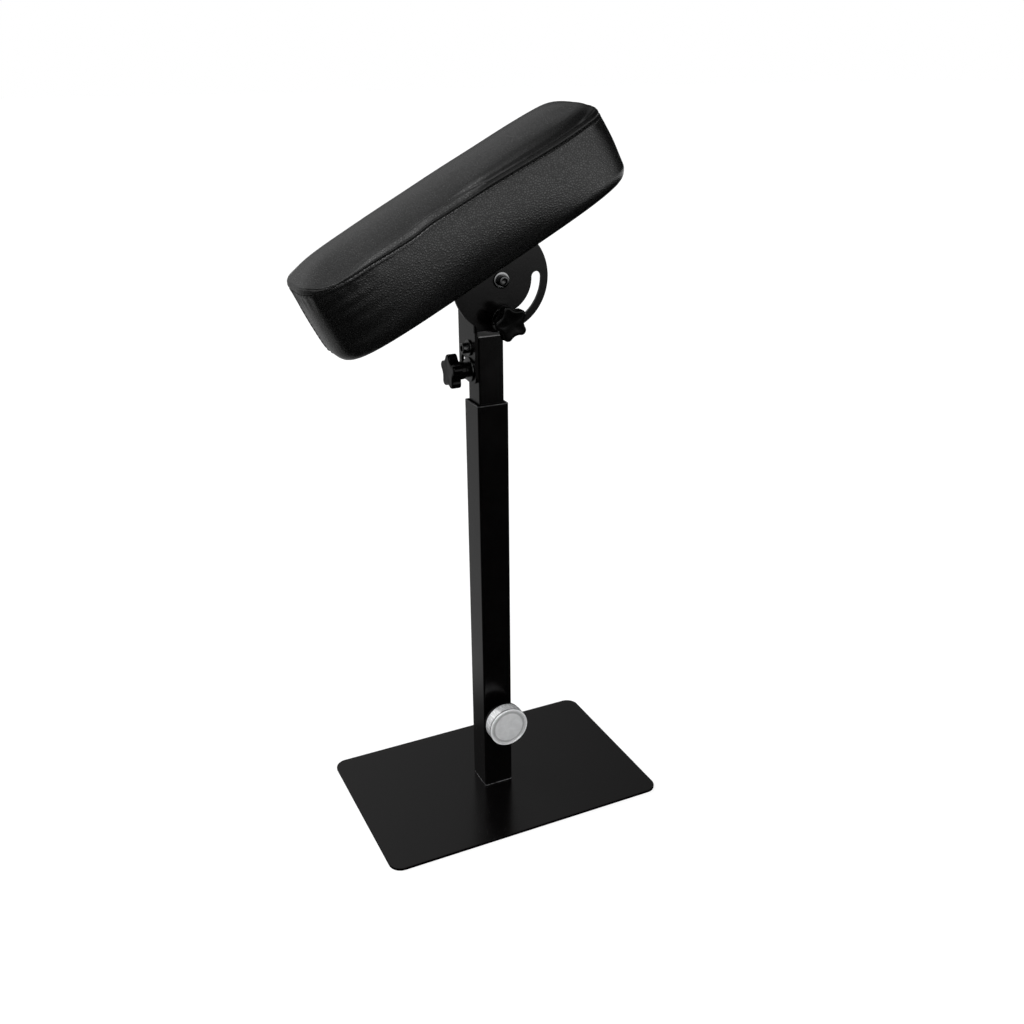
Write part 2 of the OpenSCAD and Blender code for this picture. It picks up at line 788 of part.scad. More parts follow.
function crown_h(x) = pad_crown + crown_gain * x / pad_l;

// Ring of points at a height plus shares of the seam's height and of the crown over it
function pad_ring(inset, z, seam_share, crown_share) = [
    for (p = pad_plan(inset)) [p.x, p.y, z + seam_share * seam_z(p.x) + crown_share * crown_h(p.x)]
];

function crown_rise_share(inset) = 1 - pow(1 - inset / (pad_w / 2), crown_power);

function top_ring(inset, drop) = pad_ring(inset, -drop, 1, crown_rise_share(inset));

// Side profile from the seam down, as [inset, height, share of the seam's height]
function side_profile() = concat(
    [[0, 0, 1]],
    [for (s = side_height_shares)
        [-pad_draw_in * sin(90 * min(1, (1 - s) / (1 - fullest_share))), pad_roll_r * (1 - s), s]],
    [for (i = [0:roll_steps]) let (a = 90 * i / roll_steps)
        [pad_roll_r * (1 - cos(a)) - pad_draw_in, pad_roll_r * (1 - sin(a)), 0]]
);

// Triangles between rings that follow each other. Rings from turn on come back along a skin's inner side,
// where the other diagonal gives the same facets as on the piece that the skin covers
function ring_walls(count, turn) = [
    for (j = [0:count - 2], i = [0:pad_steps - 1])
        let (n = (i + 1) % pad_steps, a = j * pad_steps, b = (j + 1) * pad_steps)
        each j < turn
            ? [[a + i, b + n, b + i], [a + i, a + n, b + n]]
            : [[a + i, a + n, b + i], [a + n, b + n, b + i]]
];

// Triangles across a ring that is alike on both sides of the X axis
function ring_lid(first, up) = [
    for (i = [0:pad_steps / 2 - 1])
        let (p = first + i, q = first + i + 1)
        let (r = first + (pad_steps - i - 1) % pad_steps, s = first + (pad_steps - i) % pad_steps)
        each concat(
            i < pad_steps / 2 - 1 ? [up ? [p, r, q] : [p, q, r]] : [],
            i > 0 ? [up ? [p, s, r] : [p, r, s]] : []
        )
];

// Solid through rings, from the top one down or on round a skin's edge, with a lid at each end
module ring_stack(rings, turn) {
    polyhedron(
        points = [for (r = rings) each r],
        faces = concat(
            ring_walls(len(rings), turn),
            ring_lid(0, true),
            ring_lid((len(rings) - 1) * pad_steps, false)
        ),
        convexity = 4
    );
}

// Solid through rings that close on themselves, like a tyre
module ring_loop(rings, turn) {
    count = len(rings);
    polyhedron(
        points = [for (r = rings) each r],
        faces = concat(ring_walls(count, turn), [
            for (i = [0:pad_steps - 1])
                let (n = (i + 1) % pad_steps, a = (count - 1) * pad_steps)
                each [[a + i, n, i], [a + i, a + n, n]]
        ]),
        convexity = 6
    );
}

function reversed(list) = [for (i = [len(list) - 1:-1:0]) list[i]];

module pad_board() {
    color("#b08b5e") difference() {
        at_pad() translate([0, 0, cover_t]) linear_extrude(board_t) polygon(pad_plan(board_inset));
        at_tilt() board_screw_places() {
            translate([0, 0, flange_t]) cylinder(r = tee_barrel_r + slip_gap, h = cover_t + board_t + over);
            translate([0, 0, flange_t + cover_t + board_t - tee_flange_t - slip_gap])
                cylinder(r = tee_flange_r + slip_gap, h = tee_flange_t + over);
        }
    }
}

module pad_foam() {
    top = [for (s = reversed(top_inset_shares)) if (s > 0)
        top_ring(max(s * pad_w / 2, 2 * cover_t), cover_t)];
    seam = [pad_ring(cover_t, -cover_t, 1, 0)];
    side = [for (p = side_profile()) if (p[2] < 1 && p[2] + p.y > cover_t)
        pad_ring(p.x + cover_t, p.y, p[2], 0)];
    foot = [pad_ring(board_inset, cover_t, 0, 0)];
    color("#e3d9a8") at_pad() difference() {
        rings = concat(top, seam, side, foot);
        ring_stack(rings, len(rings));
        translate([0, 0, -over]) linear_extrude(cover_t + board_t + over)
            polygon(pad_plan(board_inset - slip_gap));
    }
}

// Crowned top panel of the cover, up to the seam
module pad_top_panel() {
    insets = [for (s = top_inset_shares) s * pad_w / 2];
    outer = [for (d = reversed(insets)) top_ring(d, 0)];
    inner = concat(
        [pad_ring(cover_t, 0, 1, 0)],
        [for (d = insets) if (d > 0) top_ring(max(d, 2 * cover_t), cover_t - slip_gap)]
    );
    color("#2e2f2f") at_pad() ring_stack(concat(outer, inner), len(outer));
}

// Side band of the cover, from the seam down and turned under the board
module pad_side_band() {
    outer = concat(
        [for (p = side_profile()) pad_ring(p.x, p.y, p[2], 0)],
        [pad_ring(board_inset + turn_under, 0, 0, 0)]
    );
    inner = concat(
        [for (p = side_profile()) if (p[2] + p.y > cover_t)
            pad_ring(p.x + cover_t - slip_gap, p.y, p[2], 0)],
        [pad_ring(board_inset, cover_t, 0, 0), pad_ring(board_inset + turn_under, cover_t, 0, 0)]
    );
    color("#262627") at_pad() ring_loop(concat(outer, reversed(inner)), len(outer));
}

module pad_bottom_cloth() {
    color("#1a1a1b") difference() {
        at_pad() linear_extrude(cover_t) polygon(pad_plan(board_inset + turn_under + cloth_gap));
        at_tilt() board_screw_places() cylinder(r = board_screw_d / 2 + slip_gap, h = 2 * flange_t);
    }
}

// Staples that hold the turned edge to the board, in straight rows
module pad_staples() {
    side_y = pad_w / 2 - board_inset - turn_under / 2;
    end_x = pad_l / 2 - board_inset - turn_under / 2;
    side_row = pad_l * side_row_share;
    end_row = pad_w * end_row_share;
    color("#b9b9ba") at_pad() for (s = [-1, 1]) {
        for (i = [0:side_staples - 1])
            translate([(i / (side_staples - 1) - 1 / 2) * side_row, s * side_y, 0]) staple();
        for (i = [0:end_staples - 1])
            translate([s * end_x, (i / (end_staples - 1) - 1 / 2) * end_row, 0]) rotate(90) staple();
    }
}

module staple() {
    translate([-staple_w / 2, -staple_t / 2, -staple_t]) {
        cube([staple_w, staple_t, staple_t]);
        cube([staple_t, staple_t, staple_leg + staple_t]);
        translate([staple_w - staple_t, 0, 0]) cube([staple_t, staple_t, staple_leg + staple_t]);
    }
}

base_plate();
base_post();
foot_weld();
post_glide_cap();
sleeve_tube();
clamp_boss();
slide_bush();
neck_liner();
neck_screws();
neck_tube();
neck_plug();
neck_rivet_nuts();
side_pivot_bolt();
side_washer();
clamp_pad();
clamp_screw();
clamp_grip_ring();
clamp_cap();
clamp_face_disc();
side_knob_washer();
side_knob_stud();
side_star_knob();
head_bracket();
bracket_weld_nut();
friction_washer();
main_pivot_bolt();
main_washers();
main_lock_nut();
front_knob_washer();
front_knob_stud();
front_star_knob();
tilt_plate();
board_screws();
board_tee_nuts();
pad_board();
pad_foam();
pad_top_panel();
pad_side_band();
pad_bottom_cloth();
pad_staples();
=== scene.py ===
"""Looks of the arm rest stand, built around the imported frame. Lengths are millimetres until mesh_object()."""

import json
import math

import bmesh
import bpy
import numpy as np
from mathutils import Matrix, Vector

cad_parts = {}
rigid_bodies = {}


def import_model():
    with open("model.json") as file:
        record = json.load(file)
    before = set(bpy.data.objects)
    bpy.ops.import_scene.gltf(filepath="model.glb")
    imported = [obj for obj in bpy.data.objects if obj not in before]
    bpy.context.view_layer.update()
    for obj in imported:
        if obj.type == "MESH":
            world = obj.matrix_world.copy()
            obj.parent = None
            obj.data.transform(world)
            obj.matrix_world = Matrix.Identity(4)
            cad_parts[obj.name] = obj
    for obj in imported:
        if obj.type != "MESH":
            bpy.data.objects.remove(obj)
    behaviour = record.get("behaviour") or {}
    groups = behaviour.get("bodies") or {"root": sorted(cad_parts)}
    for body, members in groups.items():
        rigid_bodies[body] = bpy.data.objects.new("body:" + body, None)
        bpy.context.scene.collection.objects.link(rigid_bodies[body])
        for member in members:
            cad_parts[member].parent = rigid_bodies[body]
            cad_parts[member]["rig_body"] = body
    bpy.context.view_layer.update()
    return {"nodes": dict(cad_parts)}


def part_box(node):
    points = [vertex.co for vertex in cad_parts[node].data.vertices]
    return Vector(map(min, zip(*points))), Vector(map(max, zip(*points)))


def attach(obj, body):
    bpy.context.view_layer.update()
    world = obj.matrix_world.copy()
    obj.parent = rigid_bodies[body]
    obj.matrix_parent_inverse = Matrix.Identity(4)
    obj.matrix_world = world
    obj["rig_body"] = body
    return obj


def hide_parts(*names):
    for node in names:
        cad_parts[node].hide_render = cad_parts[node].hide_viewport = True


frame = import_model()

MM = 0.001
TAU = 2 * math.pi


# Camera and places

CAMERA_POS = Vector((-400.3, -900.1, 729.1)) * MM
CAMERA_AZ, CAMERA_PITCH, CAMERA_ROLL = (math.radians(v) for v in (-25.07, 23.30, -0.57))
FOCAL_PX, CENTRE_PX, FRAME_PX, SENSOR_MM = 1074.2, (507.5, 524.4), 1024, 36.0


def add_object(name, data):
    made = bpy.data.objects.new(name, data)
    bpy.context.scene.collection.objects.link(made)
    return made


def make_camera():
    forward = Vector((-math.sin(CAMERA_AZ) * math.cos(CAMERA_PITCH),
                      math.cos(CAMERA_AZ) * math.cos(CAMERA_PITCH), -math.sin(CAMERA_PITCH)))
    level = Vector((math.cos(CAMERA_AZ), math.sin(CAMERA_AZ), 0))
    upright = level.cross(forward)
    c, s = math.cos(CAMERA_ROLL), math.sin(CAMERA_ROLL)
    right, up = c * level + s * upright, c * upright - s * level
    data = bpy.data.cameras.new("camera")
    data.sensor_width = SENSOR_MM
    data.lens = FOCAL_PX / FRAME_PX * SENSOR_MM
    data.shift_x = (FRAME_PX / 2 - CENTRE_PX[0]) / FRAME_PX
    data.shift_y = (CENTRE_PX[1] - FRAME_PX / 2) / FRAME_PX
    data.clip_start, data.clip_end = 0.02, 60
    camera = add_object("camera", data)
    turned = Matrix((right, up, -forward)).transposed().to_4x4()
    camera.matrix_world = Matrix.Translation(CAMERA_POS) @ turned
    bpy.context.scene.camera = camera


make_camera()


def low(node):
    """The lowest corner of a node's box, in millimetres."""
    return np.array(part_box(node)[0]) / MM


def high(node):
    return np.array(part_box(node)[1]) / MM


def mid(node):
    return (low(node) + high(node)) / 2


# Materials

class Nodes:
    """A node tree, with short calls for the nodes that the looks and the world use."""

    def __init__(self, owner):
        owner.use_nodes = True
        self.tree = owner.node_tree
        self.coords = self.tree.nodes.new("ShaderNodeTexCoord")

    def node(self, kind, **values):
        made = self.tree.nodes.new(kind)
        for key, value in values.items():
            if hasattr(made, key):
                setattr(made, key, value)
            else:
                made.inputs[key.replace("_", " ")].default_value = value
        return made

    def link(self, source, target):
        self.tree.links.new(source, target)

    def mix(self, share, first, second, blend="MIX"):
        """A colour that goes from first to second by share. Each of them is an output or a value."""
        made = self.node("ShaderNodeMix", data_type="RGBA", blend_type=blend)
        for index, value in ((0, share), (6, first), (7, second)):
            if isinstance(value, bpy.types.NodeSocket):
                self.link(value, made.inputs[index])
            else:
                made.inputs[index].default_value = value
        return made.outputs[2]

    def combine(self, operation, first, second):
        made = self.node("ShaderNodeMath", operation=operation)
        self.link(first, made.inputs[0])
        self.link(second, made.inputs[1])
        return made.outputs[0]

    def place(self):
        """Outputs of the place along X, Y and Z, in metres."""
        parts = self.node("ShaderNodeSeparateXYZ")
        self.link(self.coords.outputs["Object"], parts.inputs[0])
        return parts.outputs

    def vector(self, operation, source, other=(0, 0, 0)):
        made = self.node("ShaderNodeVectorMath", operation=operation)
        made.inputs[1].default_value = other
        self.link(source, made.inputs[0])
        return made.outputs

    def stretched(self, scale=(1, 1, 1)):
        mapping = self.node("ShaderNodeMapping", Scale=scale)
        self.link(self.coords.outputs["Object"], mapping.inputs["Vector"])
        return mapping.outputs["Vector"]

    def noise(self, size, detail=3.0, stretch=(1, 1, 1)):
        """Noise whose features are about size millimetres wide."""
        made = self.node("ShaderNodeTexNoise", Scale=1 / (size * MM), Detail=detail, Roughness=0.55)
        self.link(self.stretched(stretch), made.inputs["Vector"])
        return made.outputs["Fac"]

    def pebbles(self, size, warp=0.8):
        """How far each place is from its pebble's edge. Edges bend by about warp times the size."""
        vector = self.stretched()
        jitter = self.node("ShaderNodeTexNoise", Scale=1 / (2 * size * MM), Detail=2.0)
        self.link(vector, jitter.inputs["Vector"])
        bent = self.node("ShaderNodeVectorMath", operation="MULTIPLY_ADD")
        bent.inputs[1].default_value = (warp * size * MM,) * 3
        self.link(jitter.outputs["Color"], bent.inputs[0])
        self.link(vector, bent.inputs[2])
        made = self.node("ShaderNodeTexVoronoi", Scale=1 / (size * MM), feature="DISTANCE_TO_EDGE")
        self.link(bent.outputs[0], made.inputs["Vector"])
        return made.outputs["Distance"]

    def ramp(self, value, points):
        """Colour or grey ramp over (position, colour) points."""
        made = self.node("ShaderNodeValToRGB")
        elements = made.color_ramp.elements
        for i, (position, colour) in enumerate(points):
            element = elements[i] if i < 2 else elements.new(position)
            element.position = position
            element.color = (*((colour,) * 3 if isinstance(colour, (int, float)) else colour), 1)
        self.link(value, made.inputs["Fac"])
        return made.outputs["Color"]

    def spread(self, value, low_value, high_value, start=0.3, end=0.7, kind="LINEAR"):
        """Takes start to low_value and end to high_value, and no farther."""
        made = self.node("ShaderNodeMapRange", interpolation_type=kind)
        for i, v in enumerate((start, end, low_value, high_value), 1):
            made.inputs[i].default_value = v
        self.link(value, made.inputs[0])
        return made.outputs[0]


class Look(Nodes):
    """A material with one principled shader."""

    def __init__(self, name, **sockets):
        self.material = bpy.data.materials.new(name)
        super().__init__(self.material)
        self.shader = self.tree.nodes["Principled BSDF"]
        for key, value in sockets.items():
            self.shader.inputs[key.replace("_", " ")].default_value = value

    def colour(self, value, *points):
        self.link(self.ramp(value, points), self.shader.inputs["Base Color"])

    def rough(self, value, low_value, high_value):
        self.link(self.spread(value, low_value, high_value), self.shader.inputs["Roughness"])

    def bumps(self, *layers):
        """Bump layers of (height output, depth in millimetres)."""
        last = None
        for height, depth in layers:
            bump = self.node("ShaderNodeBump", Strength=1.0, Distance=depth * MM)
            self.link(height, bump.inputs["Height"])
            if last:
                self.link(last, bump.inputs["Normal"])
            last = bump.outputs["Normal"]
        self.link(last, self.shader.inputs["Normal"])


def tinted(grey, tint):
    return tuple(grey * t for t in tint)


def paint_edge_highlights(m, foot, rim):
    """Paints a light grey line into a coat below the height foot and above the height rim, in millimetres, in
    patches: painted highlights along a tube's bottom and top edges.
    """
    coat = m.shader.inputs["Base Color"].links[0].from_socket
    height = m.place()["Z"]
    at_foot = m.spread(height, 0.55, 0, (foot - 0.5) * MM, foot * MM)
    at_rim = m.spread(height, 0, 0.16, rim * MM, (rim + 0.4) * MM)
    patchy = m.spread(m.noise(7, 2.0), 0.3, 1.0, 0.4, 0.6)
    highlight_share = m.combine("MULTIPLY", m.combine("MAXIMUM", at_foot, at_rim), patchy)
    # painted highlight: light grey lines along the tube's foot and rim, in patches
    m.link(m.mix(highlight_share, coat, (0.42, 0.42, 0.43, 1)), m.shader.inputs["Base Color"])


def powder_coat(name="powder_coat", highlight_heights=None):
    """Black powder coat with a fine peel. Its last argument holds the two heights that the function above takes
    for the painted highlight lines at a tube's foot and rim.
    """
    m = Look(name, IOR=1.37)
    peel, patch = m.noise(0.9, 2.0), m.noise(38, 3.0)
    m.colour(patch, (0.3, (0.0012, 0.0010, 0.0011)), (0.75, (0.0018, 0.0015, 0.0016)))
    m.rough(patch, 0.19, 0.26)
    m.bumps((peel, 0.012), (m.noise(3.2, 2.0), 0.02))
    if highlight_heights:
        paint_edge_highlights(m, *highlight_heights)
    return m.material


def leather(name, base, rough, grain, cell, index, gloss):
    """Coated leather: pebbles about cell millimetres wide, and between them darker and rougher creases that
    are grain millimetres deep. Gloss is the specular level of creases and of pebbles."""
    m = Look(name, IOR=index)
    pebbles = m.pebbles(cell)
    fine, soft = m.noise(1.5, 1.0), m.noise(45, 3.0)
    crease = m.spread(pebbles, 0.5, 1.0, 0.0, 0.2)
    pebble_top = 0.32
    dark, light = tinted(base * 0.8, (1, 1.01, 1.01)), tinted(base * 1.2, (1, 1.01, 1.02))
    tone = m.ramp(soft, [(0.25, dark), (0.8, light)])
    m.link(m.mix(1.0, tone, crease, "MULTIPLY"), m.shader.inputs["Base Color"])
    roughness = m.spread(pebbles, rough + 0.12, rough - 0.03, 0.0, pebble_top)
    m.link(roughness, m.shader.inputs["Roughness"])
    m.link(m.spread(pebbles, *gloss, 0.0, pebble_top), m.shader.inputs["Specular IOR Level"])
    m.bumps((m.noise(30, 2.0), 0.05), (m.spread(pebbles, 0, 1, 0.0, 0.4), grain), (fine, grain))
    return m.material


def thread():
    m = Look("thread", IOR=1.4, Roughness=0.6)
    m.colour(m.noise(0.5), (0.3, 0.0022), (0.7, 0.006))
    m.bumps((m.noise(0.35, 2.0), 0.05))
    return m.material


def moulded_plastic(name="moulded_plastic", base=0.0011, rough=(0.12, 0.18)):
    m = Look(name, IOR=1.23)
    patch = m.noise(9, 3.0)
    m.colour(patch, (0.3, base * 0.8), (0.7, base * 1.3))
    m.rough(patch, *rough)
    m.bumps((m.noise(0.4, 2.0), 0.012), (m.noise(5, 2.0), 0.05))
    return m.material


def metal(name, base, rough, streak=(1, 1, 1), depth=0.006, size=0.5, metallic=1.0):
    """Brushed or turned metal, whose grain is size millimetres wide where streak is 1."""
    m = Look(name, Metallic=metallic)
    grain = m.noise(size, 3.0, streak)
    patch = m.noise(6, 3.0)
    tint = (1, 1.01, 1.02)
    m.colour(patch, (0.25, tinted(base * 0.88, tint)), (0.8, tinted(base * 1.08, tint)))
    m.rough(grain, rough - 0.06, rough + 0.08)
    m.bumps((grain, depth))
    return m.material


def plywood():
    m = Look("plywood", Roughness=0.6)
    grain = m.noise(3.5, 5.0, (0.08, 1, 1))
    m.colour(grain, (0.3, (0.34, 0.21, 0.1)), (0.5, (0.5, 0.34, 0.18)), (0.75, (0.62, 0.45, 0.27)))
    m.bumps((grain, 0.08))
    return m.material


def dust_cloth():
    """Thin plain-woven cloth under the board."""
    m = Look("dust_cloth", Roughness=0.85)
    pitch = 1.6 * MM
    weave = []
    for axis in "XY":
        wave = m.node("ShaderNodeTexWave", Scale=1 / pitch / TAU * 0.5, bands_direction=axis, Distortion=0.4)
        m.link(m.stretched(), wave.inputs["Vector"])
        weave.append(wave.outputs["Fac"])
    m.colour(m.noise(12), (0.3, 0.010), (0.7, 0.018))
    m.bumps((m.combine("MULTIPLY", *weave), 0.12))
    return m.material


# heights below and above which painted highlight lines run along the sleeve's foot and rim, in millimetres
SLEEVE_HIGHLIGHT_HEIGHTS = (4.8, 432.4)

POWDER = powder_coat()
SLEEVE_COAT = powder_coat("powder_coat_sleeve", SLEEVE_HIGHLIGHT_HEIGHTS)
LEATHER_TOP = leather("leather_top", 0.009, 0.28, 0.03, 1.9, 1.43, (0.40, 0.60))
# the side band's leather: its base colour, lower than the top's, is painted shade on the side
LEATHER_SIDE_SHADED = leather("leather_side", 0.006, 0.22, 0.08, 2.0, 1.56, (0.36, 0.64))
THREAD = thread()
PLASTIC = moulded_plastic()
NYLON = moulded_plastic("black_nylon", 0.02, (0.45, 0.6))
GREY_PLASTIC = moulded_plastic("grey_plug", 0.20, (0.5, 0.62))
BRIGHT = metal("bright_steel", 0.28, 0.16)
DARK = metal("dark_steel", 0.09, 0.24)
ZINC = metal("zinc_steel", 0.5, 0.34)
SATIN_FACE = metal("satin_face", 0.74, 0.40, (1, 1, 0.06), 0.004, 0.25, 0.2)
SATIN_SIDE = metal("satin_side", 0.72, 0.24, (1, 0.05, 1), 0.02, 0.6, 0.45)
# near-white lip: a polished rim with a painted highlight on it
SATIN_LIP_POLISH_AND_HIGHLIGHT = metal("satin_lip_polish_and_painted_highlight", 0.95, 0.3, (1, 1, 1), 0.004, 0.3, 0.2)
# darker metal: painted shade in the face's channel and on the lip's inner slope
SATIN_RING_SHADE = metal("satin_ring_painted_shade", 0.52, 0.4, (1, 1, 1), 0.004, 0.3, 0.3)
# near black and not metal: a painted shadow in the clamp cap's side groove
SATIN_GROOVE_SHADOW = metal("satin_groove_painted_shadow", 0.05, 0.6, (1, 1, 1), 0.004, 0.3, 0.0)
PLYWOOD, CLOTH = plywood(), dust_cloth()


# Mesh helpers

# a face counts as wide when its area over its edge length is that of a strip this wide
WIDE_FACE = 1.6
WELD, SLIVER = 0.08, 0.01
BEVEL_FROM, SMOOTH_TO = math.radians(50), math.radians(40)


def body_of(node):
    return frame["nodes"][node]["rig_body"]


def add_piece(name, mesh, body, replaces):
    made = add_object(name, mesh)
    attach(made, body)
    if replaces:
        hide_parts(*replaces)
    return made


def mesh_object(name, points, faces, material, body, slot, replaces=(), sharp=40, kinds=None, others=()):
    """An object from points in millimetres, set on its body. Kinds number its faces' materials."""
    mesh = bpy.data.meshes.new(name)
    scaled = [tuple(float(c) * MM for c in p) for p in points]
    mesh.from_pydata(scaled, [], [list(map(int, f)) for f in faces])
    mesh.validate()
    for m in (material, *others):
        mesh.materials.append(m)
    if kinds is not None:
        mesh.polygons.foreach_set("material_index", kinds)
    mesh.shade_smooth()
    mesh.set_sharp_from_angle(angle=math.radians(sharp))
    return add_piece(name, mesh, body, replaces)


def piece(name, part, material, slot, node, sharp=35, kinds=None, others=()):
    """A piece that replaces one node, from its points and faces."""
    mesh_object(name, *part, material, body_of(node), slot, [node], sharp, kinds, others)


def wide_normals(bm):
    """The normals of the wide flat faces that meet at each point."""
    bm.verts.index_update()
    bm.normal_update()
    wide = [[] for _ in bm.verts]
    for f in bm.faces:
        if 2 * f.calc_area() / f.calc_perimeter() > WIDE_FACE * MM:
            for v in f.verts:
                wide[v.index].append(f.normal.copy())
    return wide


def smooth_mean(vert, face):
    """The mean normal of the faces at a point that run on smoothly from the face."""
    total = Vector()
    for near in vert.link_faces:
        if near.normal.dot(face.normal) > math.cos(SMOOTH_TO):
            total += near.normal * near.calc_area()
    return total


def corner_normals(bm, wide):
    """A normal for each corner: that of a wide face at the point, else the smooth mean."""
    normals = []
    for f in bm.faces:
        for v in f.verts:
            best = max(wide[v.index], key=f.normal.dot, default=None)
            if best is None or f.normal.dot(best) < 0.5:
                best = smooth_mean(v, f)
            normals.append(best.normalized() if best.length > 0 else f.normal.copy())
    return normals


def softened(node, name, material, width):
    """The node's own shape with its sharp edges rounded off, as a piece that replaces it."""
    bm = bmesh.new()
    bm.from_mesh(frame["nodes"][node].data)
    bmesh.ops.remove_doubles(bm, verts=bm.verts, dist=WELD * MM)
    bmesh.ops.dissolve_degenerate(bm, edges=bm.edges, dist=SLIVER * MM)
    bmesh.ops.dissolve_limit(bm, angle_limit=math.radians(1.0), verts=bm.verts, edges=bm.edges)
    edges = [e for e in bm.edges if len(e.link_faces) == 2 and e.calc_face_angle(0) > BEVEL_FROM]
    bmesh.ops.bevel(bm, geom=edges, offset=width * MM, offset_type="OFFSET", segments=2,
                    profile=0.5, affect="EDGES", clamp_overlap=True)
    wide = wide_normals(bm)
    bmesh.ops.triangulate(bm, faces=[f for f in bm.faces if len(f.verts) > 4])
    bm.normal_update()
    normals = corner_normals(bm, wide)
    mesh = bpy.data.meshes.new(name)
    bm.to_mesh(mesh)
    bm.free()
    mesh.materials.append(material)
    mesh.shade_smooth()
    mesh.normals_split_custom_set(normals)
    add_piece(name, mesh, body_of(node), [node])


def ring_of(count, z, reach):
    """A ring of points at the height z, each as far from the axis as reach() says for its number."""
    return [(reach(i) * math.cos(TAU * i / count), reach(i) * math.sin(TAU * i / count), z)
            for i in range(count)]


def lathe(profile, steps=96):
    """Points and faces of a solid of revolution about +Z from (radius, height) points that run up its
    outside."""
    points, faces, rings = [], [], []
    for r, z in profile:
        if r < 1e-6:
            rings.append([len(points)])
            points.append((0, 0, z))
        else:
            rings.append(list(range(len(points), len(points) + steps)))
            points += ring_of(steps, z, lambda i: r)
    for a, b in zip(rings, rings[1:]):
        for i in range(steps):
            n = (i + 1) % steps
            if len(a) == 1:
                faces.append((a[0], b[n], b[i]))
            elif len(b) == 1:
                faces.append((a[i], a[n], b[0]))
            else:
                faces.append((a[i], a[n], b[n], b[i]))
    return points, faces


def stack(rings):
    """Points and faces through rings with the same number of points, closed at both ends."""
    n = len(rings[0])
    points = [p for ring in rings for p in ring]
    faces = [(j * n + i, j * n + (i + 1) % n, (j + 1) * n + (i + 1) % n, (j + 1) * n + i)
             for j in range(len(rings) - 1) for i in range(n)]
    faces += [tuple(range(n - 1, -1, -1)), tuple(range((len(rings) - 1) * n, len(rings) * n))]
    return points, faces


def merged(*parts):
    points, faces = [], []
    for p, f in parts:
        faces += [tuple(i + len(points) for i in face) for face in f]
        points += list(p)
    return points, faces


# the number of the coordinate along an axis, and the axes of a part whose +Z points along it
ALONG = {"-x": 0, "-y": 1, "+y": 1}
AXES = {"-x": ((0, -1, 0), (0, 0, 1), (-1, 0, 0)),
        "-y": ((1, 0, 0), (0, 0, 1), (0, -1, 0)),
        "+y": ((-1, 0, 0), (0, 0, 1), (0, 1, 0))}


def placed(part, origin, axis):
    """Moves a part so that its +Z points along the axis and its origin is at origin."""
    points = np.array(part[0], float) @ np.array(AXES[axis], float) + np.array(origin, float)
    return [tuple(p) for p in points], part[1]


def rounded(corners, radius, steps=3):
    """An open (radius, height) profile whose inner corners are rounded."""
    out = [corners[0]]
    for a, b, c in zip(corners, corners[1:], corners[2:]):
        a, b, c = (np.array(v, float) for v in (a, b, c))
        la, lc = np.linalg.norm(a - b), np.linalg.norm(c - b)
        r = min(radius, la * 0.45, lc * 0.45)
        start, end = b + (a - b) / la * r, b + (c - b) / lc * r
        for i in range(steps + 1):
            t = i / steps
            out.append(tuple((1 - t) ** 2 * start + 2 * t * (1 - t) * b + t ** 2 * end))
    return out + [corners[-1]]


# Cushion, in the pad's level frame: origin in the middle of its underside, +X towards the raised end

# the seam falls by SEAM_FALL over the length, and the top stands CROWN above it and gains CROWN_GAIN
PAD_L, PAD_W, PAD_H, SEAM_FALL = 310.0, 100.0, 67.0, 7.5
CROWN, CROWN_GAIN, MIDDLE_CROWN = 19.0, 9.0, 1.3
# the side stands DRAW_IN outside the plan from FULLEST of its height down
DRAW_IN, ROLL_R, COVER_T = 1.5, 13.0, 1.2
SQUARENESS, FULLEST = 4.2, 0.35
BOARD_INSET, TURN_UNDER = ROLL_R - DRAW_IN + COVER_T, 13.0
REST_TILT, PAD_SHIFT, PAD_RISE = math.radians(27.5), 7.0, 17.5
FOLD_H, FOLD_INSET, ROLL_OVER = 6.0, 1.4, (6.0, 6.3)
# where along X the fold turns soft and crisp again, and where the raised end comes to bulge
SOFT_FROM, SOFT_TO = (-141, -118), (-8, 30)
END_BULGE, BULGE_FROM = 1.2, (120, 152)
# where round the pad the low front corner, its creases and the band's join are, in degrees
LOW_CORNER, CREASES, JOIN_DEGREES = 226, 219, 172.0
STITCH_PITCH = 4.4
AROUND, COARSE = 480, 4
CENTRE_INSET = 49.2
CLOTH_FRAMES = 20


def pad_matrix():
    """From the pad's level frame, in millimetres, to the stand's frame."""
    pivot = mid("main_pivot_bolt")
    return (Matrix.Translation((pivot[0], 0, pivot[2])) @ Matrix.Rotation(-REST_TILT, 4, "Y")
            @ Matrix.Translation((-PAD_SHIFT, 0, PAD_RISE)))


PAD_M = np.array(pad_matrix())


def to_stand(points):
    return np.asarray(points, float) @ PAD_M[:3, :3].T + PAD_M[:3, 3]


def step(v, start, end):
    t = np.clip((v - start) / (end - start), 0, 1)
    return t * t * (3 - 2 * t)


def bell(v, width):
    return np.exp(-(v / width) ** 2)


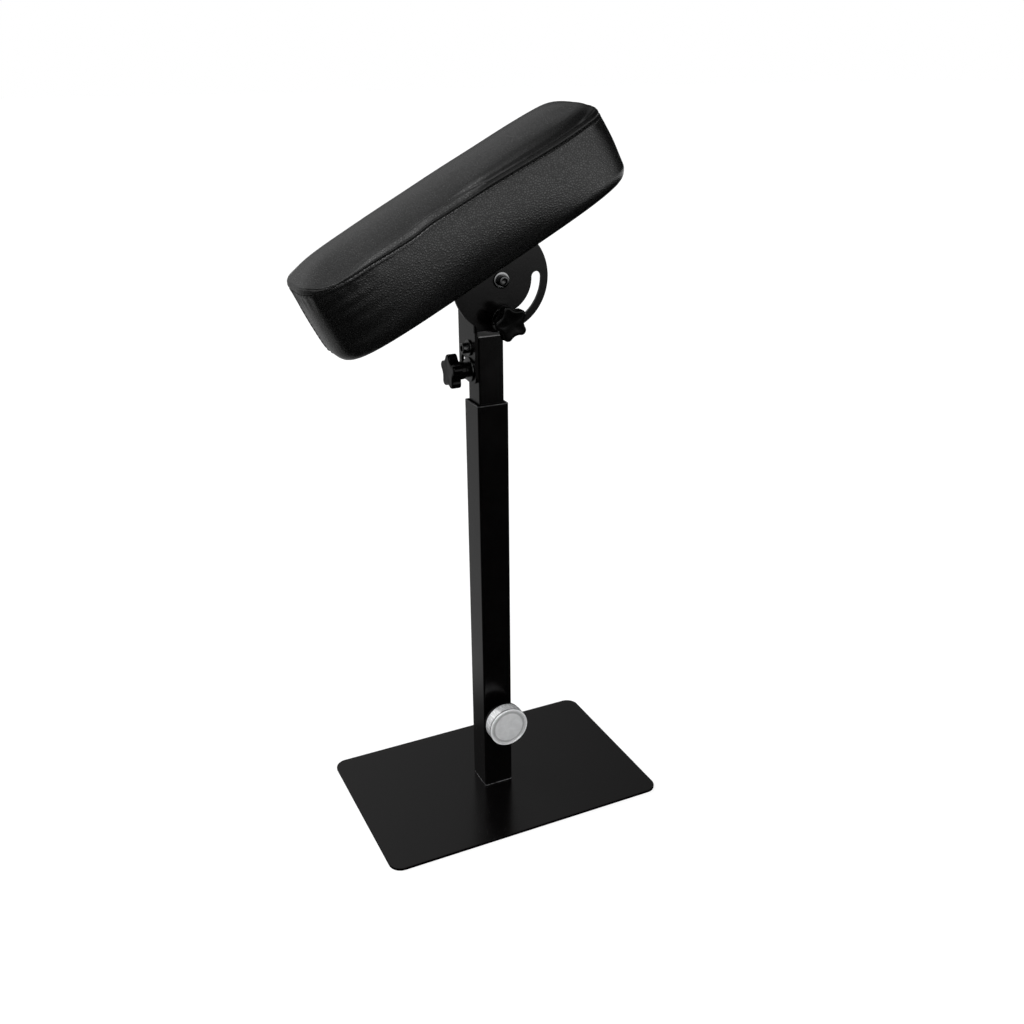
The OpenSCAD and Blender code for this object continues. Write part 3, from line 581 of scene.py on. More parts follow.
class Around:
    """What the cover is like at each angle round the pad."""

    def __init__(self, angles):
        self.angles = angles
        self.reach = (np.abs(np.cos(angles)) ** SQUARENESS
                      + np.abs(np.sin(angles)) ** SQUARENESS) ** (-1 / SQUARENESS)
        self.x, self.y = self.plan(0)
        front = step(-self.y, 18, 44)
        degrees = np.degrees(angles)
        # the fold is soft along the low half of the front side, and runs into the seam at its end
        soft = front * step(self.x, *SOFT_FROM) * (1 - step(self.x, *SOFT_TO))
        self.crisp = 1 - soft
        narrow = 1 - 0.8 * bell(degrees - LOW_CORNER, 10)
        self.fold_inset = (self.crisp * FOLD_INSET + soft * ROLL_OVER[0]) * narrow
        self.fold_h = (self.crisp * FOLD_H + soft * ROLL_OVER[1]) * narrow
        self.valley = step(-self.y, 4, 36) * step(self.x, -70, 95)
        self.end_bulge = END_BULGE * step(self.x, *BULGE_FROM)
        # the seam was sewn a little high in the middle of the front side and low at its low end
        self.raise_seam = front * (1.9 * step(self.x, -56, -30) * (1 - 0.9 * step(self.x, 20, 110))
                                   - 0.5 * step(-self.x, 44, 64) - 1.1 * step(-self.x, 92, 122))

    def plan(self, inset):
        return ((PAD_L / 2 - inset) * self.reach * np.cos(self.angles),
                (PAD_W / 2 - inset) * self.reach * np.sin(self.angles))

    def ring(self, inset, height, seam_share, pull):
        """Points at an inset, with a height over a share of the seam's and a share of the seam's wander."""
        x, y = self.plan(inset)
        z = height + seam_share * (PAD_H - SEAM_FALL * x / PAD_L) + pull * self.raise_seam
        return np.stack([x, y, z], 1)

    def top(self, share):
        """The crowned panel, from the fold at share 0 to the middle line at share 1."""
        inset = self.fold_inset + share * (CENTRE_INSET - self.fold_inset)
        x, y = self.plan(inset)
        crown = CROWN + CROWN_GAIN * x / PAD_L + MIDDLE_CROWN * bell(x, 110)
        rise = 1 - (1 - np.clip(share, 0, 1) ** 1.1) ** (3.1 - 1.1 * step(-y, 0, 30))
        from_fold = inset - self.fold_inset
        steep = 0.30 * self.valley
        rise = (1 - steep) * rise + steep * (1 - bell(from_fold, 5.5))
        # the top falls steeply to a groove beside the fold where the front side's fold is crisp
        groove = step(-y, 4, 36) * step(x, -75, 35) * (1 - step(x, 118, 142))
        dip = 2.2 * groove * self.crisp * bell(from_fold - 2.0, 1.6)
        return self.ring(inset, self.fold_h + (crown - self.fold_h) * rise - dip, 1, np.exp(-inset / 14))

    def strip(self, share):
        """The panel's edge, which stands up from the seam at share 0 to the fold at share 1."""
        turn = share * math.pi / 2
        inset = self.fold_inset * (self.crisp * share ** 1.5 + (1 - self.crisp) * share)
        rise = self.crisp * share + (1 - self.crisp) * math.sin(turn)
        return self.ring(inset, self.fold_h * rise, 1, 1)

    def band(self, share):
        """The side, from the seam at share 1 to the rolled edge at share 0."""
        bulge = DRAW_IN + self.end_bulge
        inset = -bulge * math.sin(math.pi / 2 * min(1, (1 - share) / (1 - FULLEST)))
        return self.ring(inset, ROLL_R * (1 - share), share, share ** 3)

    def roll(self, turn):
        """The edge rolled under, from the side at turn 0 to the underside at a quarter turn."""
        inset = ROLL_R * (1 - math.cos(turn)) - DRAW_IN - self.end_bulge * math.cos(turn)
        return self.ring(inset, ROLL_R * (1 - math.sin(turn)), 0, 0)


def cover_rings(around):
    """Rings of the cover from the top's middle line down to the turned edge, and the rows of the fold, the
    seam and the side's lower end."""
    top_shares = np.concatenate([np.arange(1, 0.3, -0.045), np.arange(0.3, 0.12, -0.025),
                                 np.arange(0.12, 0.001, -0.012)])
    side_shares = np.concatenate([np.arange(0.99, 0.9, -0.011), np.arange(0.88, 0.02, -0.04), [0]])
    rings = [around.top(share) for share in top_shares] + [around.strip(1.0)]
    fold = len(rings) - 1
    rings += [around.strip(share) for share in np.arange(0.875, 0.0, -0.125)] + [around.strip(0.0)]
    seam = len(rings) - 1
    rings += [around.band(share) for share in side_shares]
    band_end = len(rings) - 1
    rings += [around.roll(math.pi / 2 * i / 8) for i in range(1, 9)]
    rings += [around.ring(inset, 0, 0, 0) for inset in (BOARD_INSET + 4, BOARD_INSET + TURN_UNDER)]
    return np.array(rings), fold, seam, band_end


def normals_of(rings):
    """Outward normals on the grid of rings."""
    along = np.roll(rings, -1, 1) - np.roll(rings, 1, 1)
    down = np.empty_like(rings)
    down[1:-1] = rings[2:] - rings[:-2]
    down[0], down[-1] = rings[1] - rings[0], rings[-1] - rings[-2]
    n = np.cross(down, along)
    return n / np.maximum(np.linalg.norm(n, axis=2, keepdims=True), 1e-9)


def grid_faces(count, first, last):
    """Faces between the rings first to last of count points each."""
    return [(j * count + i, (j + 1) * count + i, (j + 1) * count + (i + 1) % count,
             j * count + (i + 1) % count) for j in range(first, last) for i in range(count)]


def lid_faces(count, first=0):
    """Faces across a ring, from its front half to its back half."""
    faces = []
    for i in range(count // 2):
        p, q, r, s = i, i + 1, (count - i - 1) % count, (count - i) % count
        if i == 0:
            face = (p, q, r)
        elif q == r:
            face = (p, q, s)
        else:
            face = (p, q, r, s)
        faces.append(tuple(first + v for v in face))
    return faces


def swell(rings, held, deflate=0.3, pressure=12.0, farthest=3.0):
    """Blows the cover up as cloth, its held rings fixed. Returns each point's move, none over farthest."""
    count = rings.shape[1]
    free = 1 - held
    start = rings - normals_of(rings) * (deflate * free)[:, None, None]
    faces = lid_faces(count) + grid_faces(count, 0, len(rings) - 1)
    last = (len(rings) - 1) * count
    faces += [tuple(reversed(f)) for f in lid_faces(count, last)]
    mesh = bpy.data.meshes.new("swell")
    mesh.from_pydata((start.reshape(-1, 3) * MM).tolist(), [], faces)
    made = add_object("swell", mesh)
    group = made.vertex_groups.new(name="held")
    for j, weight in enumerate(held):
        group.add(list(range(j * count, (j + 1) * count)), float(weight), "REPLACE")
    cloth = made.modifiers.new("cloth", "CLOTH")
    settings = cloth.settings
    settings.quality, settings.mass = 6, 0.3
    settings.tension_stiffness = settings.compression_stiffness = 15
    settings.shear_stiffness, settings.bending_stiffness = 5, 0.5
    settings.use_pressure, settings.uniform_pressure_force = True, pressure
    settings.vertex_group_mass = "held"
    settings.effector_weights.gravity = 0
    cloth.collision_settings.use_collision = False
    cloth.point_cache.frame_start, cloth.point_cache.frame_end = 1, CLOTH_FRAMES
    scene = bpy.context.scene
    for number in range(1, CLOTH_FRAMES + 1):
        scene.frame_set(number)
    settled = made.evaluated_get(bpy.context.evaluated_depsgraph_get()).data
    end = np.empty(len(settled.vertices) * 3)
    settled.vertices.foreach_get("co", end)
    bpy.data.objects.remove(made)
    scene.frame_set(1)
    moved = end.reshape(rings.shape) / MM - rings
    length = np.linalg.norm(moved, axis=2, keepdims=True)
    return moved * np.minimum(1, farthest / np.maximum(length, 1e-6))


def spread_over(moved, rows, row_count):
    """A coarse grid's moves, spread smoothly over the fine grid."""
    for _ in range(2):
        moved = (np.roll(moved, 1, 1) + 2 * moved + np.roll(moved, -1, 1)) / 4
    count = moved.shape[1]
    ring = np.concatenate([moved, moved[:, :1]], 1)
    fine_at = np.arange(count * COARSE) / COARSE
    around = np.array([[np.interp(fine_at, np.arange(count + 1), ring[j, :, k]) for k in range(3)]
                       for j in range(len(rows))])
    down = np.arange(row_count)
    fine = np.array([[np.interp(down, rows, around[:, k, i]) for k in range(3)]
                     for i in range(around.shape[2])])
    fine = fine.transpose(2, 0, 1)
    for _ in range(3):
        fine = (np.roll(fine, 1, 1) + 2 * fine + np.roll(fine, -1, 1)) / 4
    return fine


def arc_length(ring):
    return np.concatenate([[0], np.cumsum(np.linalg.norm(np.diff(ring, axis=0), axis=1))])


def cover_details(rings, around, fold, seam, band_end):
    """How far each point stands out for seams, folds, gathers and the leather's small unevenness."""
    x, y, z = rings[..., 0], rings[..., 1], rings[..., 2]
    rows = np.arange(len(rings))[:, None]
    from_seam = np.linalg.norm(rings - rings[seam], axis=2)
    from_fold = np.linalg.norm(rings - rings[fold], axis=2)
    side = rows > seam
    along = arc_length(rings[seam])[None, :]
    degrees = np.degrees(around.angles)[None, :]
    # the seam's groove, the leather raised beside it, the fold, and the pull of each stitch
    out = -0.75 * bell(from_seam, 0.8)
    out += 0.28 * bell(from_seam - 2.0, 1.1)
    out -= 0.9 * around.crisp[None, :] * bell(from_fold, 0.75) * (rows <= seam - 1)
    out -= 0.16 * np.cos(TAU * along / STITCH_PITCH) * bell(from_seam - 0.9, 1.3)
    # gathers below the seam round both ends
    ends = step(np.abs(x), 128, 150)
    gather = np.sin(degrees * 0.9 + 2 * np.sin(degrees * 0.11))
    out += (0.10 + 0.16 * ends) * side * gather * bell(from_seam - 6, 6)
    # creases on the turn of the low end
    corner = bell(degrees - CREASES, 13) * side * step(z, 4, 14)
    out += 0.3 * corner * np.sin(z * 0.52 + y * 0.16 + 1.2 * np.sin(z * 0.13))
    # unevenness of pulled leather, held down at the seams and under the board
    wave = (np.sin(x / 23 + 1.3) * np.cos(y / 17 + z / 21) + 0.6 * np.sin(x / 11 - z / 13 + 0.7)
            + 0.5 * np.cos(x / 37 - y / 29 + 2.1))
    hold = step(from_seam, 1, 14) * step(from_fold, 1, 10) * step(z, 0, 8)
    out += 0.11 * wave * hold
    # the band's upright join at the low end
    from_join = (degrees - JOIN_DEGREES) * math.radians(1) * PAD_L / 2 * 0.34
    out -= 0.7 * side * bell(from_join, 1.0) * (rows <= band_end + 6)
    return out


def make_cover():
    around = Around(np.arange(AROUND) * TAU / AROUND)
    rings, fold, seam, band_end = cover_rings(around)
    end = len(rings)
    rows = sorted({0, fold, seam, band_end, end - 2, end - 1, *range(0, fold - 4, 2),
                   *range(seam + 8, band_end, 2), *range(band_end + 2, end - 2, 2)})
    held = np.array([1.0 if row in (fold, seam) or row > band_end + 2 else 0.0 for row in rows])
    moved = swell(rings[rows][:, ::COARSE], held)
    rings = rings + spread_over(moved, rows, end)
    rings = rings + normals_of(rings) * cover_details(rings, around, fold, seam, band_end)[..., None]
    points = to_stand(rings.reshape(-1, 3))
    top_faces = lid_faces(AROUND) + grid_faces(AROUND, 0, seam)
    side_faces = grid_faces(AROUND, seam, end - 1)
    for name, faces, material, slot, nodes in (
            ("cushion_top", top_faces, LEATHER_TOP, "leather_top", ["pad_top_panel", "pad_foam"]),
            ("cushion_side", side_faces, LEATHER_SIDE_SHADED, "leather_side", ["pad_side_band"])):
        used = sorted({i for f in faces for i in f})
        index = {v: i for i, v in enumerate(used)}
        own_faces = [[index[i] for i in f] for f in faces]
        made = mesh_object(name, points[used], own_faces, material, "pad", slot, nodes, sharp=75)
        thick = made.modifiers.new("thickness", "SOLIDIFY")
        thick.thickness, thick.offset = COVER_T * 0.8 * MM, -1
    return rings, seam, band_end


cover, seam_row, band_end_row = make_cover()


# Stitching

STITCH_R, STITCH_L, STITCH_SIDES, STITCH_RINGS = 0.42, 3.7, 6, 7


def stitch_run(path, normals):
    """Thread stitches along a path: short rounded rods, each end dipping into the leather."""
    along = arc_length(path)
    share = np.linspace(-1, 1, STITCH_RINGS)
    size = STITCH_R * np.sqrt(np.clip(1 - 0.75 * share ** 8, 0.05, 1))
    turns = [TAU * k / STITCH_SIDES for k in range(STITCH_SIDES)]
    parts = []
    for i in range(int(along[-1] / STITCH_PITCH)):
        s = (i + 0.12) * STITCH_PITCH + np.linspace(0, STITCH_L, STITCH_RINGS)
        centre, up = (np.array([np.interp(s, along, values[:, k]) for k in range(3)]).T
                      for values in (path, normals))
        up /= np.linalg.norm(up, axis=1, keepdims=True)
        centre = centre + up * (STITCH_R * (0.9 - 1.9 * share ** 6))[:, None]
        tangent = np.gradient(centre, axis=0)
        tangent /= np.linalg.norm(tangent, axis=1, keepdims=True)
        across = np.cross(up, tangent)
        other = np.cross(tangent, across)
        rings = [[centre[j] + size[j] * (math.cos(a) * across[j] + math.sin(a) * other[j]) for a in turns]
                 for j in range(STITCH_RINGS)]
        parts.append(stack(rings))
    return merged(*parts)


def make_stitches():
    """The stitches along the seam, and those beside the band's upright join."""
    normals = normals_of(cover)
    turn = PAD_M[:3, :3]
    closed = np.vstack([cover[seam_row], cover[seam_row, :1]])
    outward = np.vstack([normals[seam_row], normals[seam_row, :1]]) @ turn.T
    mesh_object("seam_stitches", *stitch_run(to_stand(closed), outward), THREAD, "pad", "leather_top")
    beside = round(AROUND * JOIN_DEGREES / 360) + 2
    rows = slice(seam_row + 2, band_end_row + 6)
    mesh_object("join_stitches", *stitch_run(to_stand(cover[rows, beside]), normals[rows, beside] @ turn.T),
                THREAD, "pad", "leather_side")


make_stitches()


# Plates and tubes

for node, name, material, slot, edge in (
        ("base_plate", "plate_body", POWDER, "powder_coat", 0.5),
        ("sleeve_tube", "sleeve_body", SLEEVE_COAT, "powder_coat", 0.45),
        ("neck_tube", "neck_body", POWDER, "powder_coat", 0.3),
        ("neck_plug", "plug_body", GREY_PLASTIC, "grey_plug", 0.35),
        ("head_bracket", "bracket_body", POWDER, "powder_coat", 0.35),
        ("tilt_plate", "arc_plate", POWDER, "powder_coat", 0.35)):
    softened(node, name, material, edge)


# Washers

WASHER_T, WASHER_EDGE = 1.6, 0.4


def washer(hole_r, outer_r):
    """A flat ring with rounded edges, standing on z = 0."""
    corners = [(hole_r, WASHER_T / 2), (hole_r, 0), (outer_r, 0), (outer_r, WASHER_T), (hole_r, WASHER_T),
               (hole_r, WASHER_T / 2)]
    profile = rounded(corners, WASHER_EDGE)[:-1]
    points, faces = lathe(profile)
    count = len(points) // len(profile)
    last = len(points) - count
    faces += [(last + i, last + (i + 1) % count, (i + 1) % count, i) for i in range(count)]
    return points, faces


def make_washers(name, node, axis, hole_r, material, slot):
    """One washer at the node's near side along the axis, and one at its far side where the node is two."""
    along = ALONG[axis]
    lo, hi = low(node), high(node)
    two = hi[along] - lo[along] > 2 * WASHER_T
    parts = []
    for start in [lo[along] + WASHER_T, hi[along]] if two else [hi[along]]:
        origin = mid(node)
        origin[along] = start
        parts.append(placed(washer(hole_r, (hi[2] - lo[2]) / 2), origin, axis))
    piece(name, merged(*parts), material, slot, node, 40)


make_washers("side_washer_body", "side_washer", "-x", 3.4, DARK, "dark_steel")
make_washers("side_knob_washer_body", "side_knob_washer", "-x", 4.4, DARK, "zinc_steel")
make_washers("front_knob_washer_body", "front_knob_washer", "-y", 4.4, DARK, "dark_steel")
make_washers("main_washer_pair", "main_washers", "-y", 3.4, BRIGHT, "bright_steel")


# Star knobs

STAR_R, LOBES, LOBE_R, NOTCH_DEPTH, STAR_T = 16.5, 5, 4.5, 4.2, 9.5
HUB_R, HUB_L = 8.5, 11.5
ARC_STEPS = 14


def star_outline():
    """Points of lobes joined by hollows, as in the solid, and their outward normals."""
    half = math.pi / LOBES
    lobe_c, notch = STAR_R - LOBE_R, STAR_R - NOTCH_DEPTH
    reach = lobe_c * math.cos(half)
    hollow_r = ((notch ** 2 + lobe_c ** 2 - LOBE_R ** 2 - 2 * notch * reach)
                / (2 * (LOBE_R + reach - notch)))
    hollow_c = notch + hollow_r
    meet = math.atan2(hollow_c * math.sin(half), hollow_c * math.cos(half) - lobe_c)
    centre = np.array([hollow_c * math.cos(half), hollow_c * math.sin(half)])
    first = np.array([lobe_c + LOBE_R * math.cos(meet), LOBE_R * math.sin(meet)]) - centre
    start = math.atan2(first[1], first[0])
    end = 2 * half - start - TAU
    lobe, hollow = [], []
    for i in range(ARC_STEPS):
        a = -meet + 2 * meet * i / ARC_STEPS
        lobe.append((lobe_c + LOBE_R * math.cos(a), LOBE_R * math.sin(a), math.cos(a), math.sin(a)))
        a = start + (end - start) * (i / ARC_STEPS)
        x, y = centre + hollow_r * np.array([math.cos(a), math.sin(a)])
        hollow.append((x, y, -math.cos(a), -math.sin(a)))
    points, normals = [], []
    for number in range(LOBES):
        turn = 2 * half * number
        c, s = math.cos(turn), math.sin(turn)
        for x, y, nx, ny in lobe + hollow:
            points.append((x * c - y * s, x * s + y * c))
            normals.append((nx * c - ny * s, nx * s + ny * c))
    return np.array(points), np.array(normals)


def star_knob():
    """Lobed head with rounded edges, a shallow dish in its face and a moulded hub, standing on z = 0."""
    outline, normal = star_outline()
    z0, z1 = HUB_L, HUB_L + STAR_T
    back = [(5.5, z0 + 0.2), (2.2, z0), (0.9, z0 + 0.05), (0.25, z0 + 0.35), (0, z0 + 1.0)]
    side = [(0, z0 + STAR_T * 2 / 5), (0, z0 + STAR_T * 3 / 5)]
    face = [(0, z1 - 1.5), (0.12, z1 - 0.95), (0.45, z1 - 0.42), (0.95, z1 - 0.1), (1.5, z1),
            (2.6, z1 - 0.02)]
    rings = [[(x, y, z) for x, y in outline - normal * inset] for inset, z in back + side + face]
    for share, depth in ((0.62, 0.12), (0.4, 0.25), (0.2, 0.3), (0.05, 0.32)):
        rings.append([(x * share, y * share, z1 - depth) for x, y in outline])
    neck_r, hub_top = HUB_R - 1.3, HUB_L + 0.6
    hub = lathe(rounded([(0, 0.05), (neck_r, 0.05), (neck_r, 4.4), (HUB_R - 0.1, 4.9), (HUB_R, hub_top),
                         (0, hub_top)], 0.5), 64)
    return merged(stack(rings), hub)


def make_star(name, node, axis, turn):
    """A star knob on its stud, turned about its own axis."""
    points, faces = star_knob()
    c, s = math.cos(turn), math.sin(turn)
    points = [(x * c - y * s, x * s + y * c, z) for x, y, z in points]
    origin = mid(node.replace("star_knob", "knob_stud"))
    origin[ALONG[axis]] = high(node)[ALONG[axis]]
    piece(name, placed((points, faces), origin, axis), PLASTIC, "black_plastic", node, 50)


make_star("side_grip", "side_star_knob", "-x", math.pi / 2)
make_star("front_grip", "front_star_knob", "-y", math.radians(38))


# Screws

BOLT_HEAD_R, BOLT_HEAD_H, BOLT_D, BOLT_FLATS = 5.0, 6.0, 6.0, 5.0
NECK_HEAD_R, NECK_HEAD_H = 4.5, 2.0
# the board screws' places from the flange's middle, and the height where their heads meet the flange
BOARD_SCREW_X, BOARD_SCREW_YS, BOARD_SCREW_Z = 39, (-7.25, 10.75), -2.5


def socket_bolt(head_r, head_h, shank_d, shank_l, flats):
    """Cap screw with a knurled head, a chamfered rim and a hexagon socket, head above z = 0."""
    count = 96

    def ring(r, z, knurl=0.0):
        return ring_of(count, z, lambda i: r - knurl * (i % 2))

    def socket(z, share=1.0):
        def reach(i):
            from_flat = (TAU * i / count + math.pi / 6) % (math.pi / 3) - math.pi / 6
            return share * flats / 2 / math.cos(from_flat)
        return ring_of(count, z, reach)

    shank_r = shank_d / 2
    shank = [ring(shank_r - 0.5, -shank_l), ring(shank_r, -shank_l + 0.5), ring(shank_r, -0.02)]
    head = [ring(head_r - 0.35, 0.0), ring(head_r, 0.35, 0.1), ring(head_r, head_h - 1.0, 0.1),
            ring(head_r - 0.05, head_h - 0.75), ring(head_r - 0.3, head_h - 0.25),
            ring(head_r - 0.75, head_h)]
    hole = [socket(head_h, 1.12), socket(head_h - 0.3), socket(head_h - 2.8), socket(head_h - 3.4, 0.5)]
    return stack(shank + head + hole)


def make_bolt(name, node, axis, slot):
    """A pivot bolt as long as its node."""
    along = ALONG[axis]
    length = high(node)[along] - low(node)[along]
    origin = mid(node)
    origin[along] = low(node)[along] + BOLT_HEAD_H
    part = socket_bolt(BOLT_HEAD_R, BOLT_HEAD_H, BOLT_D, length - BOLT_HEAD_H, BOLT_FLATS)
    piece(name, placed(part, origin, axis), DARK, slot, node)


def make_neck_screws():
    """Two low-headed screws in the sleeve's back face."""
    lo, hi = low("neck_screws"), high("neck_screws")
    screw = socket_bolt(NECK_HEAD_R, NECK_HEAD_H, 5.0, 6.3, 4.1)
    heights = (lo[2] + NECK_HEAD_R, hi[2] - NECK_HEAD_R)
    parts = [placed(screw, (0, hi[1] - NECK_HEAD_H, z), "+y") for z in heights]
    piece("neck_screw_pair", merged(*parts), DARK, "dark_steel", "neck_screws")


def make_board_screws():
    """Four pan screws under the flange, in the pad's level frame, heads down."""
    points, faces = socket_bolt(5.0, 3.0, 6.0, 15.7, 4.0)
    heads_down = np.array(points) * np.array([1, -1, -1])
    parts = []
    for side in (-1, 1):
        for y in BOARD_SCREW_YS:
            moved = heads_down + np.array([side * BOARD_SCREW_X + PAD_SHIFT, y, BOARD_SCREW_Z])
            parts.append(([tuple(p) for p in to_stand(moved)], faces))
    piece("board_screw_set", merged(*parts), ZINC, "zinc_steel", "board_screws")


make_bolt("main_bolt", "main_pivot_bolt", "-y", "bright_steel")
make_bolt("side_bolt", "side_pivot_bolt", "-x", "dark_steel")
make_neck_screws()
make_board_screws()


# Clamp knob, whose pieces lie along Y with their faces to the front

RING_POINTS, FINGER_NOTCHES = 240, 40


def seat(node):
    """A round node's radius, its thickness and the middle of its back."""
    lo, hi, centre = low(node), high(node), mid(node)
    return (hi[0] - lo[0]) / 2, hi[1] - lo[1], np.array([centre[0], hi[1], centre[2]])


def make_clamp_cap():
    """The silver body, with a groove round its side and a raised lip round its face. Its materials paint a
    shadow into the groove, shade onto the lip's inner slope and a highlight onto the lip's top.
    """
    r, t, origin = seat("clamp_cap")
    foot = [(0, 0), (r - 0.2, 0), (r - 0.2, 0.5), (r, 0.9)]
    groove = [(r, t - 2.9), (r - 0.7, t - 2.6), (r - 0.7, t - 1.9), (r, t - 1.6)]
    lip = [(r, t - 0.45), (r - 0.5, t), (r - 1.35, t), (r - 1.75, t - 0.75), (r - 2.0, t - 1.35)]
    points, faces = lathe(rounded(foot + groove + lip + [(0, t - 1.35)], 0.22), 160)

    def kind(face):
        """Numbers of the materials: 0 side and face, 1 the lip's top, near white for a painted highlight, 2 its
        inner slope, darker for painted shade, and 3 the groove, near black for a painted shadow.
        """
        d = max(math.hypot(*points[i][:2]) for i in face)
        h = sum(points[i][2] for i in face) / len(face)
        if h > t - 0.5 and d > r - 1.5:
            return 1
        if h > t - 1.4 and r - 2.1 < d < r - 1.3:
            return 2
        if t - 2.8 < h < t - 1.7 and d < r - 0.1:
            return 3
        return 0

    piece("clamp_cap_body", placed((points, faces), origin, "-y"), SATIN_SIDE, "satin_metal", "clamp_cap",
          kinds=[kind(f) for f in faces], others=(SATIN_LIP_POLISH_AND_HIGHLIGHT, SATIN_RING_SHADE, SATIN_GROOVE_SHADOW))


def make_clamp_face():
    """The plain disc in the face, with a shallow channel near its edge, into which shade is painted by a darker
    material.
    """
    r, _, origin = seat("clamp_face_disc")
    profile = [(0, 0), (r, 0), (r, 0.3), (r - 0.3, 0.55), (r - 1.3, 0.6), (r - 1.6, 0.35), (r - 3.2, 0.35),
               (r - 3.5, 0.6), (0, 0.6)]
    points, faces = lathe(rounded(profile, 0.1), 128)
    radii = [max(math.hypot(*points[i][:2]) for i in f) for f in faces]
    # painted shade: the channel gets the darker ring material
    kinds = [1 if r - 3.5 < d < r - 1.2 else 0 for d in radii]
    piece("clamp_face", placed((points, faces), origin, "-y"), SATIN_FACE, "satin_metal", "clamp_face_disc",
          kinds=kinds, others=(SATIN_RING_SHADE,))


def make_clamp_ring():
    """The black ring behind the silver body, with notches round its edge and a hub at its back."""
    r, t, origin = seat("clamp_grip_ring")

    def ring(radius, z, depth=0.0):
        def reach(i):
            return radius - depth * max(0, math.cos(TAU * FINGER_NOTCHES * i / RING_POINTS)) ** 3
        return ring_of(RING_POINTS, z, reach)

    hub = [ring(5, 0), ring(9.6, 0), ring(10, 0.4), ring(10, 2.8), ring(10.2, 3.0)]
    grip = [ring(r - 0.7, 3.0), ring(r - 0.15, 3.2), ring(r, 3.7, 0.45), ring(r, t - 0.6, 0.45),
            ring(r - 0.3, t - 0.15), ring(r - 0.8, t), ring(5, t)]
    part = placed(stack(hub + grip), origin, "-y")
    piece("clamp_ring", part, PLASTIC, "black_plastic", "clamp_grip_ring")


make_clamp_cap()
make_clamp_face()
make_clamp_ring()


# Looks of the nodes that stay as they are

CAD_LOOKS = {
    POWDER: "base_post foot_weld clamp_boss",
    NYLON: "post_glide_cap slide_bush neck_liner clamp_pad friction_washer",
    ZINC: "neck_rivet_nuts bracket_weld_nut main_lock_nut board_tee_nuts pad_staples side_knob_stud "
          "front_knob_stud clamp_screw",
    PLYWOOD: "pad_board",
    CLOTH: "pad_bottom_cloth",
}

for look, names in CAD_LOOKS.items():
    for name in names.split():
        data = frame["nodes"][name].data
        data.materials.clear()
        data.materials.append(look)


# Studio

KEY_SIDE = (-0.60, 0.30, 0.74)
LOW_FRONT = (0.40, -0.915, 0.05)
DARK_FLOOR = (-0.69, -0.72, 0.0)
# direction, level and the cosine of the half angle of each patch of lamp light
LAMPS = [((-0.43, -0.25, 0.87), 2.6, 0.93), ((-0.32, -0.55, 0.77), 2.0, 0.95)]
FLOOR_GREY, FLOOR_GLOW = 0.26, 0.8
FLOOR_HALF, FLOOR_DROP = 30.0, 0.0002


def floor_in_gloss(m):
    """The floor's level for reflections: dim near the stand and towards DARK_FLOOR, bright farther off."""
    place = m.coords.outputs["Object"]
    far = m.spread(m.vector("LENGTH", place)["Value"], 0, 1, 0.0, 8.0)
    front = m.ramp(far, [(0.23, 0.0), (0.33, 0.08), (0.42, 0.34), (0.56, 1.15), (0.75, 1.5)])
    back = m.ramp(far, [(0.02, 0.1), (0.03, 0.38)])
    to_dark = m.vector("DOT_PRODUCT", m.vector("NORMALIZE", place)["Vector"], DARK_FLOOR)["Value"]
    x, y, _ = m.place()
    left_back = m.combine("MULTIPLY", m.spread(y, 0, 1, 0.0, 0.1), m.spread(x, 1, 0, 0.05, 0.2))
    mirrored = m.node("ShaderNodeEmission")
    m.link(m.mix(left_back, front, back), mirrored.inputs["Color"])
    m.link(m.spread(to_dark, 1.0, 0.1, 0.55, 0.85), mirrored.inputs["Strength"])
    return mirrored


def floor_material():
    """Pale floor. The camera sees it white with a faint shadow, and gloss sees the levels of its own."""
    m = Look("floor", Base_Color=(0.8, 0.8, 0.8, 1), Roughness=0.9, Specular_IOR_Level=0.0)
    path = m.node("ShaderNodeLightPath")
    pale = m.node("ShaderNodeBsdfDiffuse", Color=(*(FLOOR_GREY,) * 3, 1))
    glow = m.node("ShaderNodeEmission", Strength=FLOOR_GLOW)
    seen = m.node("ShaderNodeAddShader")
    m.link(pale.outputs[0], seen.inputs[0])
    m.link(glow.outputs[0], seen.inputs[1])
    last = m.shader.outputs[0]
    for ray, shader in (("Is Glossy Ray", floor_in_gloss(m)), ("Is Camera Ray", seen)):
        pick = m.node("ShaderNodeMixShader")
        m.link(path.outputs[ray], pick.inputs["Fac"])
        m.link(last, pick.inputs[1])
        m.link(shader.outputs[0], pick.inputs[2])
        last = pick.outputs[0]
    m.link(last, m.tree.nodes["Material Output"].inputs["Surface"])
    return m.material


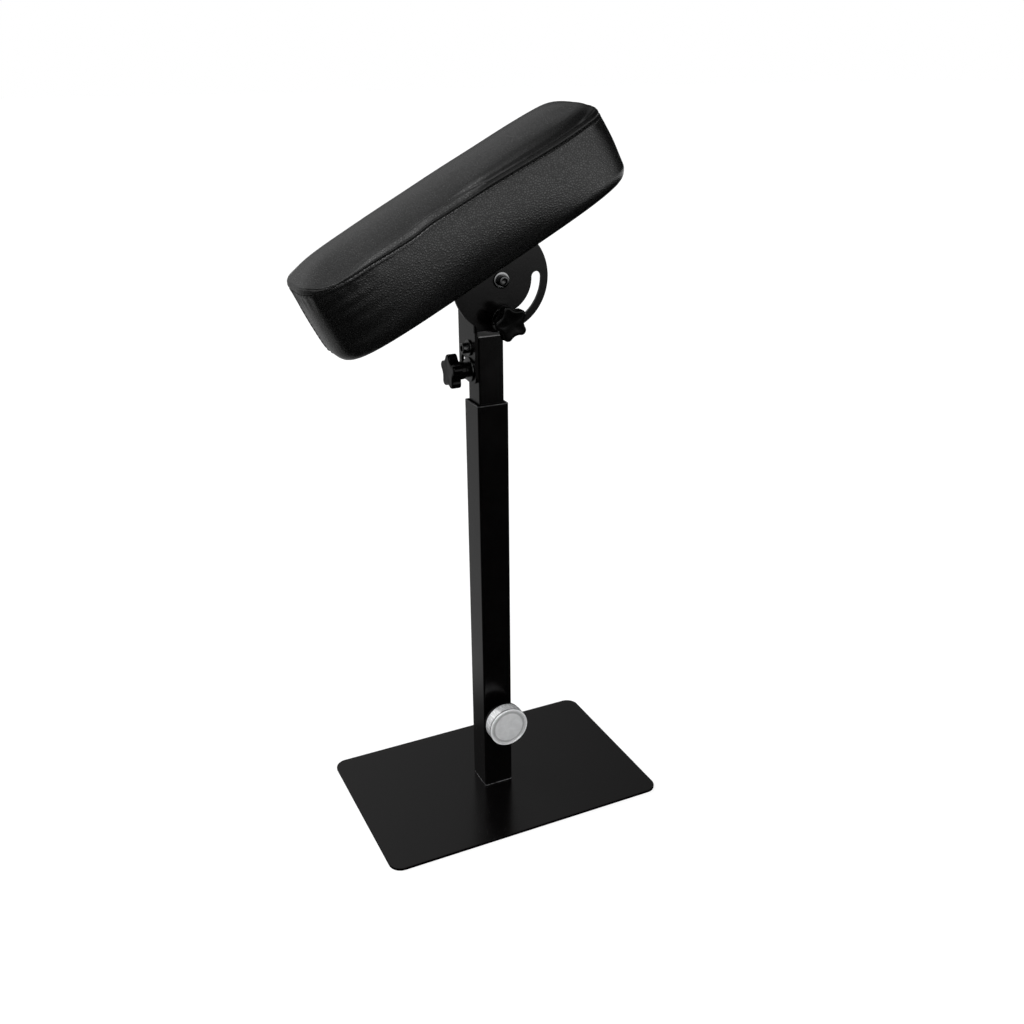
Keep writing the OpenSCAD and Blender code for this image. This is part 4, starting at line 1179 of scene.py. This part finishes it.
def make_floor():
    corners = [(x * FLOOR_HALF, y * FLOOR_HALF, 0) for x, y in ((-1, -1), (1, -1), (1, 1), (-1, 1))]
    mesh = bpy.data.meshes.new("floor")
    mesh.from_pydata(corners, [], [(0, 1, 2, 3)])
    mesh.materials.append(floor_material())
    floor = add_object("floor", mesh)
    floor.location.z = -FLOOR_DROP


def sun(name, direction, strength, angle):
    """A sun that gives light from the direction but shows in no reflection."""
    data = bpy.data.lights.new(name, "SUN")
    data.energy, data.angle = strength, math.radians(angle)
    light = add_object(name, data)
    light.rotation_mode = "QUATERNION"
    light.rotation_quaternion = (-Vector(direction)).to_track_quat("-Z", "Y")
    light.visible_glossy = False


def make_world():
    """White to the camera. For light and reflections: a broad glow from the upper left at the back, a low
    bright band in front on the right and two lamp patches high up in front."""
    world = bpy.data.worlds.new("studio")
    bpy.context.scene.world = world
    w = Nodes(world)

    def towards(direction, start, end, low_value, high_value, kind="SMOOTHSTEP"):
        """A level that changes with how nearly a ray goes in the direction."""
        nearness = w.vector("DOT_PRODUCT", w.coords.outputs["Generated"], direction)["Value"]
        return w.spread(nearness, low_value, high_value, start, end, kind)

    key = w.combine("MULTIPLY", towards(KEY_SIDE, 0.15, 1.0, 0.02, 1.02, "LINEAR"),
                    towards((0, 1, 0), 0.0, 0.45, 0.02, 1.0))
    front = w.combine("MULTIPLY", towards(LOW_FRONT, 0.58, 0.88, 0.0, 1.1),
                      towards((0, 0, 1), 0.40, 0.60, 1.0, 0.0))
    light = w.combine("ADD", key, front)
    for direction, level, edge in LAMPS:
        patch = towards(direction, edge, edge + 0.4 * (1 - edge), 0.0, level)
        light = w.combine("ADD", light, patch)
    path = w.node("ShaderNodeLightPath")
    pick = w.node("ShaderNodeMix", data_type="FLOAT")
    w.link(path.outputs["Is Camera Ray"], pick.inputs[0])
    w.link(light, pick.inputs[2])
    pick.inputs[3].default_value = 1.0
    background = w.tree.nodes["Background"]
    w.link(pick.outputs[0], background.inputs["Strength"])
    background.inputs["Color"].default_value = (1, 1, 1, 1)


make_floor()
make_world()
sun("key", (-0.62, 0.42, 1.0), 1.6, 35)

bpy.context.scene.view_settings.view_transform = "Standard"
